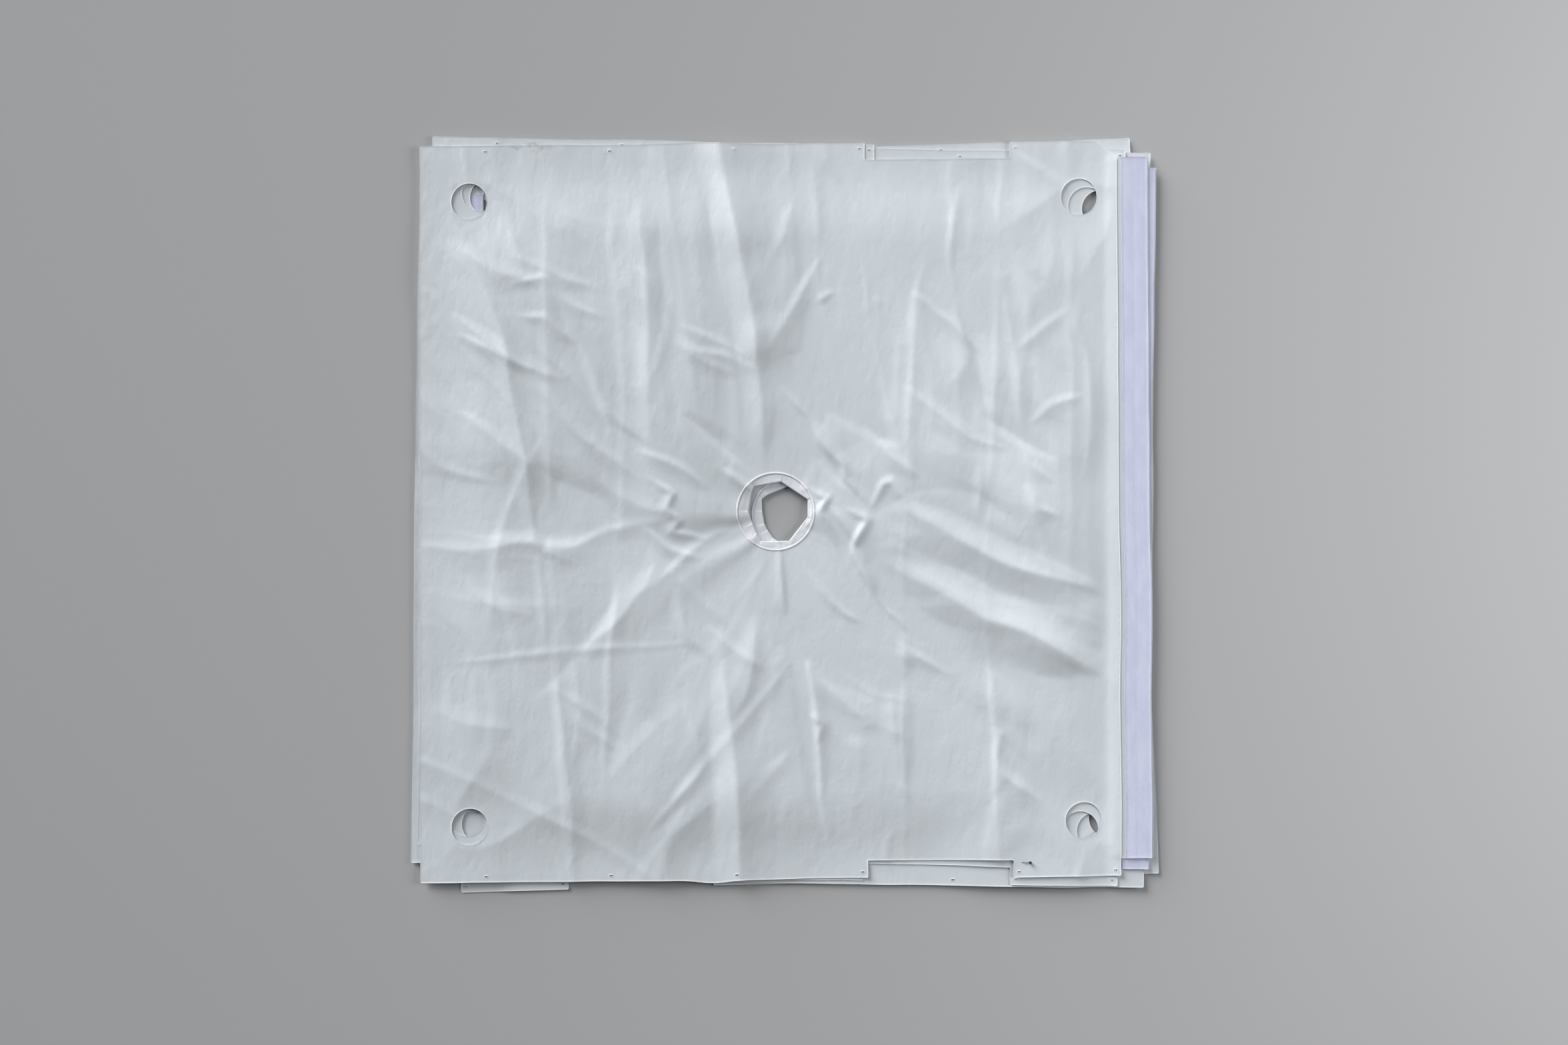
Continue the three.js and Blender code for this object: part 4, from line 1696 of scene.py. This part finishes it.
    def _stitch_dip(self, rows: list[float]) -> Rise:
        """A function that sinks the tape along its rows of stitches."""
        hand, skew = self.plan.hand.value, self.plan.flap_skew

        def dip(points: np.ndarray) -> np.ndarray:
            """The change of height at flat places on the tape."""
            across = points[:, 0] * hand + skew * (points[:, 1] / CUT.half_height + 1) / 2
            sunk = np.zeros(len(points))
            for row in rows:
                sunk -= 0.42 * np.exp(-(((across - row) / 1.5) ** 2))
            return sunk

        return dip

    def _stitches(
        self, name: str, rows: list[float], ends: Point, top: float, extra: Rise, body: str
    ) -> bpy.types.Object:
        """Rows of short thread stitches along the flap side.

        Args:
            name: The piece's name.
            rows: Each row's distance from the feed hole.
            ends: How far each row stops short of the flap's lower and upper ends.
            top: Height of the face that the stitches lie on.
            extra: That face's added height.
            body: The body that the stitches ride on.

        Returns:
            All the rows as one piece.
        """
        rng = np.random.default_rng(5 + self.plan.level)
        sides, half, thick = 6, 1.55, 0.26
        centres = []
        low, high = -CUT.half_height + 3.0 + ends[0], CUT.half_height - 2.0 - ends[1]
        for row in rows:
            ups = np.arange(low, high, self.STITCH_PITCH)
            skew = self.plan.flap_skew * (ups / CUT.half_height + 1) / 2
            xs = row - skew + rng.normal(0, 0.12, len(ups))
            centres.append(np.column_stack([xs * self.plan.hand.value, ups]))
        centres = np.vstack(centres)
        maker = self.maker(top)
        vertices, faces = [], []
        rings = ((-1.0, 0.35, 0.22), (-0.55, 1.0, 0.0), (0.55, 1.0, 0.0), (1.0, 0.35, 0.22))
        for share, girth, drop in rings:  # both ends of a stitch are thin and sink into the cloth
            at = centres + np.array([0.0, share * half])
            laid = maker.heights(at, extra)
            for side in range(sides):
                angle = 2 * math.pi * side / sides
                ring = laid.copy()
                ring[:, 0] += thick * girth * math.cos(angle)
                ring[:, 2] += thick * girth * math.sin(angle) + 0.12 - drop
                vertices.append(ring)
        stacked = np.stack(vertices, 1)
        per = stacked.shape[1]
        for index in range(len(centres)):
            base = index * per
            faces += tube_faces(len(rings), sides, base)
            faces.append([base + side for side in range(sides)])
            faces.append([base + per - sides + side for side in reversed(range(sides))])
        made = new_object(name, stacked.reshape(-1, 3), faces)
        smooth(made, 60)
        dress(made, self.finishes.thread, body)
        return made


@dataclass(frozen=True)
class FeedNeck:
    """The sewn tube that joins two panels at their feed holes, folded flat between them."""

    name: str
    lower: PressCloth
    upper: PressCloth
    creases: tuple[Point, ...]  # the folded tube's inner edge, from the upper hole's middle
    thickness: float = 0.45
    around: int = 220
    along: int = 9

    def build(self, finish: bpy.types.Material) -> bpy.types.Object:
        """Builds the neck.

        Args:
            finish: Its material.

        Returns:
            The neck, bending between the two panels' bodies.
        """
        turns = np.linspace(0, 2 * math.pi, self.around, endpoint=False)
        reach = self._crease_radius(turns)
        pleat = self._pleats(turns)
        edge = CUT.hole / 2 - 0.4
        rim = np.column_stack([edge * np.cos(turns), edge * np.sin(turns)])
        top_rim = self.upper.maker(self.upper.top).heights(rim)
        low_rim = self.lower.maker(self.lower.top).heights(rim)
        middle = np.array(self.upper.lay.centre)
        crease = np.column_stack([reach * np.cos(turns), reach * np.sin(turns)]) + middle
        crease_z = 0.45 * (top_rim[:, 2] - 0.9) + 0.55 * (low_rim[:, 2] + 0.7)
        rows = []
        for step in range(self.along):
            share = step / (self.along - 1)
            bend = ease(np.array([share]))[0]
            flat = top_rim[:, :2] * (1 - share) + crease * share
            z = (top_rim[:, 2] - 0.75) * (1 - bend) + (crease_z + 0.35) * bend
            z = z + pleat * 0.9 * math.sin(math.pi * min(share * 1.1, 1) / 2)
            uneven = smooth_noise(turns * 40, turns * 0 + share * 20, 9.0, seed=91)
            z = z + 0.35 * uneven * math.sin(math.pi * share)
            rows.append(np.column_stack([flat, np.minimum(z, top_rim[:, 2] + 0.3)]))
        inwards = (crease - middle) / np.linalg.norm(crease - middle, axis=1)[:, None]
        inner = crease + inwards * -0.45
        rows.append(np.column_stack([inner, crease_z + pleat * 0.5]))
        for step in range(self.along):
            share = 1 - step / (self.along - 1)
            flat = low_rim[:, :2] * (1 - share) + crease * share
            z = (low_rim[:, 2] + 0.3) * (1 - share) + (crease_z - 0.35) * share
            rows.append(np.column_stack([flat, z]))
        neck = new_object(self.name, np.vstack(rows), tube_faces(len(rows), self.around))
        self._thicken(neck)
        smooth(neck, 70)
        give_values(neck, "rim", np.zeros(len(neck.data.vertices)))
        neck.data.materials.append(finish)
        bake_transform(neck)
        return neck

    def _crease_radius(self, turns: np.ndarray) -> np.ndarray:
        """Distance from the middle to the folded tube's inner edge, round the hole."""
        corners = np.array(self.creases)
        reach = np.full(len(turns), 1e9)
        for a, b in zip(corners, np.roll(corners, -1, 0)):
            run = b - a
            direction = np.column_stack([np.cos(turns), np.sin(turns)])
            cross = direction[:, 0] * run[1] - direction[:, 1] * run[0]
            cross = np.where(np.abs(cross) < 1e-9, 1e-9, cross)
            far = (a[0] * run[1] - a[1] * run[0]) / cross
            share = (a[0] * direction[:, 1] - a[1] * direction[:, 0]) / cross
            hit = (far > 0) & (share >= 0) & (share <= 1)
            reach = np.where(hit, np.minimum(reach, far), reach)
        return reach

    def _pleats(self, turns: np.ndarray) -> np.ndarray:
        """A saw-tooth lift that drops at each crease, where the tube overlaps itself."""
        marks = np.sort(np.mod([math.atan2(y, x) for x, y in self.creases], 2 * math.pi))
        lift = np.zeros(len(turns))
        for index, mark in enumerate(marks):
            span = (marks[(index + 1) % len(marks)] - mark) % (2 * math.pi)
            since = np.mod(turns - mark, 2 * math.pi)
            lift = np.where(since < span, 1 - since / span, lift)
        return lift

    def _thicken(self, neck: bpy.types.Object) -> None:
        """Gives the cloth its thickness and applies it."""
        solid = neck.modifiers.new("thickness", "SOLIDIFY")
        solid.thickness = self.thickness * MM
        solid.offset = 0.0
        make_active(neck)
        bpy.ops.object.modifier_apply(modifier=solid.name)
        mesh = bmesh.new()
        mesh.from_mesh(neck.data)
        bmesh.ops.recalc_face_normals(mesh, faces=mesh.faces)
        mesh.to_mesh(neck.data)
        mesh.free()


@dataclass(frozen=True)
class BallPin:
    """The ball-headed pin that holds the top panel's tab."""

    head: float = 5.0
    shaft: float = 0.7
    length: float = 25.0
    tip: float = 3.0

    def build(self, finishes: Finishes) -> list[bpy.types.Object]:
        """Builds the pin's shaft and head where the CAD pin lies."""
        low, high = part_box("pin_head")
        centre = (low + high) / 2
        shaft_low, shaft_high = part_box("pin_shaft")
        direction = ((shaft_low + shaft_high) / 2 - centre).normalized()
        turn = Vector((0, 0, -1)).rotation_difference(direction).to_matrix().to_4x4()
        place = Matrix.Translation(centre) @ turn
        head, shaft = self._head(place), self._shaft(place)
        dress(head, finishes.bead, "pin", "pin_head")
        dress(shaft, finishes.steel, "pin", "pin_shaft")
        return [head, shaft]

    @staticmethod
    def _settle(name: str, place: Matrix) -> bpy.types.Object:
        """Names the active object and writes its place into its mesh."""
        made = bpy.context.active_object
        made.name = made.data.name = name
        made.data.transform(place @ made.matrix_world)
        made.matrix_world = Matrix.Identity(4)
        return made

    def _head(self, place: Matrix) -> bpy.types.Object:
        """The glass ball, drawn out a little where the shaft enters it."""
        bpy.ops.object.select_all(action="DESELECT")
        bpy.ops.mesh.primitive_uv_sphere_add(segments=40, ring_count=24, radius=self.head / 2 * MM)
        ball = bpy.context.active_object
        for vertex in ball.data.vertices:
            down = max(0.0, -vertex.co.z / (self.head / 2 * MM) - 0.82)
            vertex.co.z -= down * 2.2 * MM
            vertex.co.x *= 1 - down * 1.6
            vertex.co.y *= 1 - down * 1.6
        made = self._settle("pin_ball", place)
        smooth(made, 180)
        return made

    def _shaft(self, place: Matrix) -> bpy.types.Object:
        """The steel shaft with its ground point."""
        bpy.ops.object.select_all(action="DESELECT")
        radius, straight = self.shaft / 2 * MM, (self.length - self.tip) * MM
        bpy.ops.mesh.primitive_cylinder_add(
            vertices=20, radius=radius, depth=straight, location=(0, 0, -straight / 2)
        )
        bpy.ops.object.mode_set(mode="EDIT")
        bpy.ops.mesh.select_all(action="DESELECT")
        bpy.ops.object.mode_set(mode="OBJECT")
        rod = bpy.context.active_object
        for polygon in rod.data.polygons:
            polygon.select = polygon.normal.z < -0.9
        bpy.ops.object.mode_set(mode="EDIT")
        for share, shrink in ((0.35, 0.86), (0.35, 0.62), (0.3, 0.12)):
            down = (0, 0, -self.tip * share * MM)
            bpy.ops.mesh.extrude_region_move(TRANSFORM_OT_translate={"value": down})
            bpy.ops.transform.resize(value=(shrink, shrink, 1.0))
        bpy.ops.object.mode_set(mode="OBJECT")
        made = self._settle("pin_rod", place)
        smooth(made, 40)
        return made


@dataclass(frozen=True)
class Studio:
    """Floor, lamps and camera."""

    camera_height: float = 3.0
    lens: float = 41.74
    aim: Point = (-0.0018, -0.0102)
    floor_size: float = 90.0
    key_towards: Point = (-0.66, 0.75)
    key_elevation: float = 13.5  # low, so that it rakes over the folds
    key_strength: float = 6.3
    key_spread: float = 40.0

    def build(self, finishes: Finishes, top: float) -> None:
        """Builds the studio.

        Args:
            finishes: The materials.
            top: Height of the top panel, in metres, which the camera is focused on.
        """
        bpy.ops.object.select_all(action="DESELECT")
        bpy.ops.mesh.primitive_plane_add(size=self.floor_size)
        floor = bpy.context.active_object
        floor.name = "studio_floor"
        floor.data.materials.append(finishes.floor)
        self._key_sun()
        self._lamp("satin_lamp", (-2.1, 1.7, 3.2), 1.0, 17.0)
        self._lamp("side_lamp", (2.9, 0.2, 1.7), 1.6, 54.0).visible_glossy = False
        self._world()
        camera = bpy.data.objects.new("camera", bpy.data.cameras.new("camera"))
        bpy.context.scene.collection.objects.link(camera)
        camera.data.lens = self.lens
        camera.data.sensor_width = 36.0
        camera.data.clip_end = 100.0
        camera.location = (*self.aim, top + self.camera_height)
        bpy.context.scene.camera = camera

    def _key_sun(self) -> None:
        """The broad, low light that shows the folds; no shiny face mirrors it."""
        data = bpy.data.lights.new("key_sun", "SUN")
        data.energy, data.angle = self.key_strength, math.radians(self.key_spread)
        lamp = bpy.data.objects.new("key_sun", data)
        bpy.context.scene.collection.objects.link(lamp)
        lamp.visible_glossy = False
        elevation = math.radians(self.key_elevation)
        level = Vector((*self.key_towards, 0.0)).normalized() * math.cos(elevation)
        lamp.location = (level.x, level.y, math.sin(elevation))
        lamp.rotation_euler = lamp.location.to_track_quat("Z", "Y").to_euler()

    @staticmethod
    def _lamp(name: str, place: tuple[float, float, float], size: float, power: float) -> bpy.types.Object:
        """One square soft box aimed at the middle of the cloth."""
        data = bpy.data.lights.new(name, "AREA")
        data.shape, data.size, data.size_y, data.energy = "RECTANGLE", size, size, power
        lamp = bpy.data.objects.new(name, data)
        bpy.context.scene.collection.objects.link(lamp)
        lamp.location = place
        lamp.rotation_euler = (-Vector(place)).to_track_quat("-Z", "Y").to_euler()
        return lamp

    @staticmethod
    def _world() -> None:
        """A plain pale surround."""
        world = bpy.data.worlds.new("studio")
        bpy.context.scene.world = world
        world.use_nodes = True
        tree = Tree(world.node_tree)
        path = tree.add("LightPath")
        seen = tree.math("MAXIMUM", path.outputs["Is Camera Ray"], path.outputs["Is Glossy Ray"])
        strength = tree.add("MapRange", {"Value": seen, "To Min": 0.08, "To Max": 0.30}).outputs[0]
        light = tree.add("Background", {"Color": (0.93, 0.96, 1.0, 1.0), "Strength": strength})
        tree.add("OutputWorld", {"Surface": light.outputs[0]})


UPPER_NECK = (
    (53.5, 20.0), (9.5, 49.5), (-37.0, 42.0), (-41.0, 29.0), (-45.5, 0.0),
    (-39.0, -19.5), (-32.5, -36.0), (-23.5, -50.0), (22.5, -49.0), (53.5, -9.5),
)  # fmt: skip
LOWER_NECK = (
    (43.0, 34.0), (21.0, 49.0), (-1.0, 49.5), (-38.5, 34.0), (-48.5, 26.5), (-47.5, 5.5),
    (-44.0, -14.5), (-38.5, -25.5), (-29.5, -38.5), (-12.0, -49.5), (18.0, -49.0), (44.0, -31.0), (52.0, 0.0),
)  # fmt: skip


def main() -> None:
    """Builds every piece around the frame."""
    logging.basicConfig(level=logging.INFO, format="%(message)s")
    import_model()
    bpy.context.scene.view_settings.view_transform = "Standard"
    finishes = Finishes()
    pin_low, pin_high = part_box("pin_head")
    pin = (pin_low + pin_high) / 2 / MM
    relief = StackRelief((pin.x, pin.y))
    cloths = [PressCloth(plan, relief, finishes) for plan in PLANS]
    Studio().build(finishes, cloths[-1].top * MM)
    for cloth in cloths:
        panel = cloth.build()
        log.info("%s: %d faces", panel.name, len(panel.data.polygons))
    for name, pair, creases in (("lower_neck", cloths[:2], LOWER_NECK), ("upper_neck", cloths[2:], UPPER_NECK)):
        neck = FeedNeck(f"{name}_tube", pair[0], pair[1], creases).build(finishes.neck)
        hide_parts(name)
        log.info("%s: %d faces", neck.name, len(neck.data.polygons))
    for piece in BallPin().build(finishes):
        log.info("%s: %d faces", piece.name, len(piece.data.polygons))


if __name__ == "__main__":
    main()
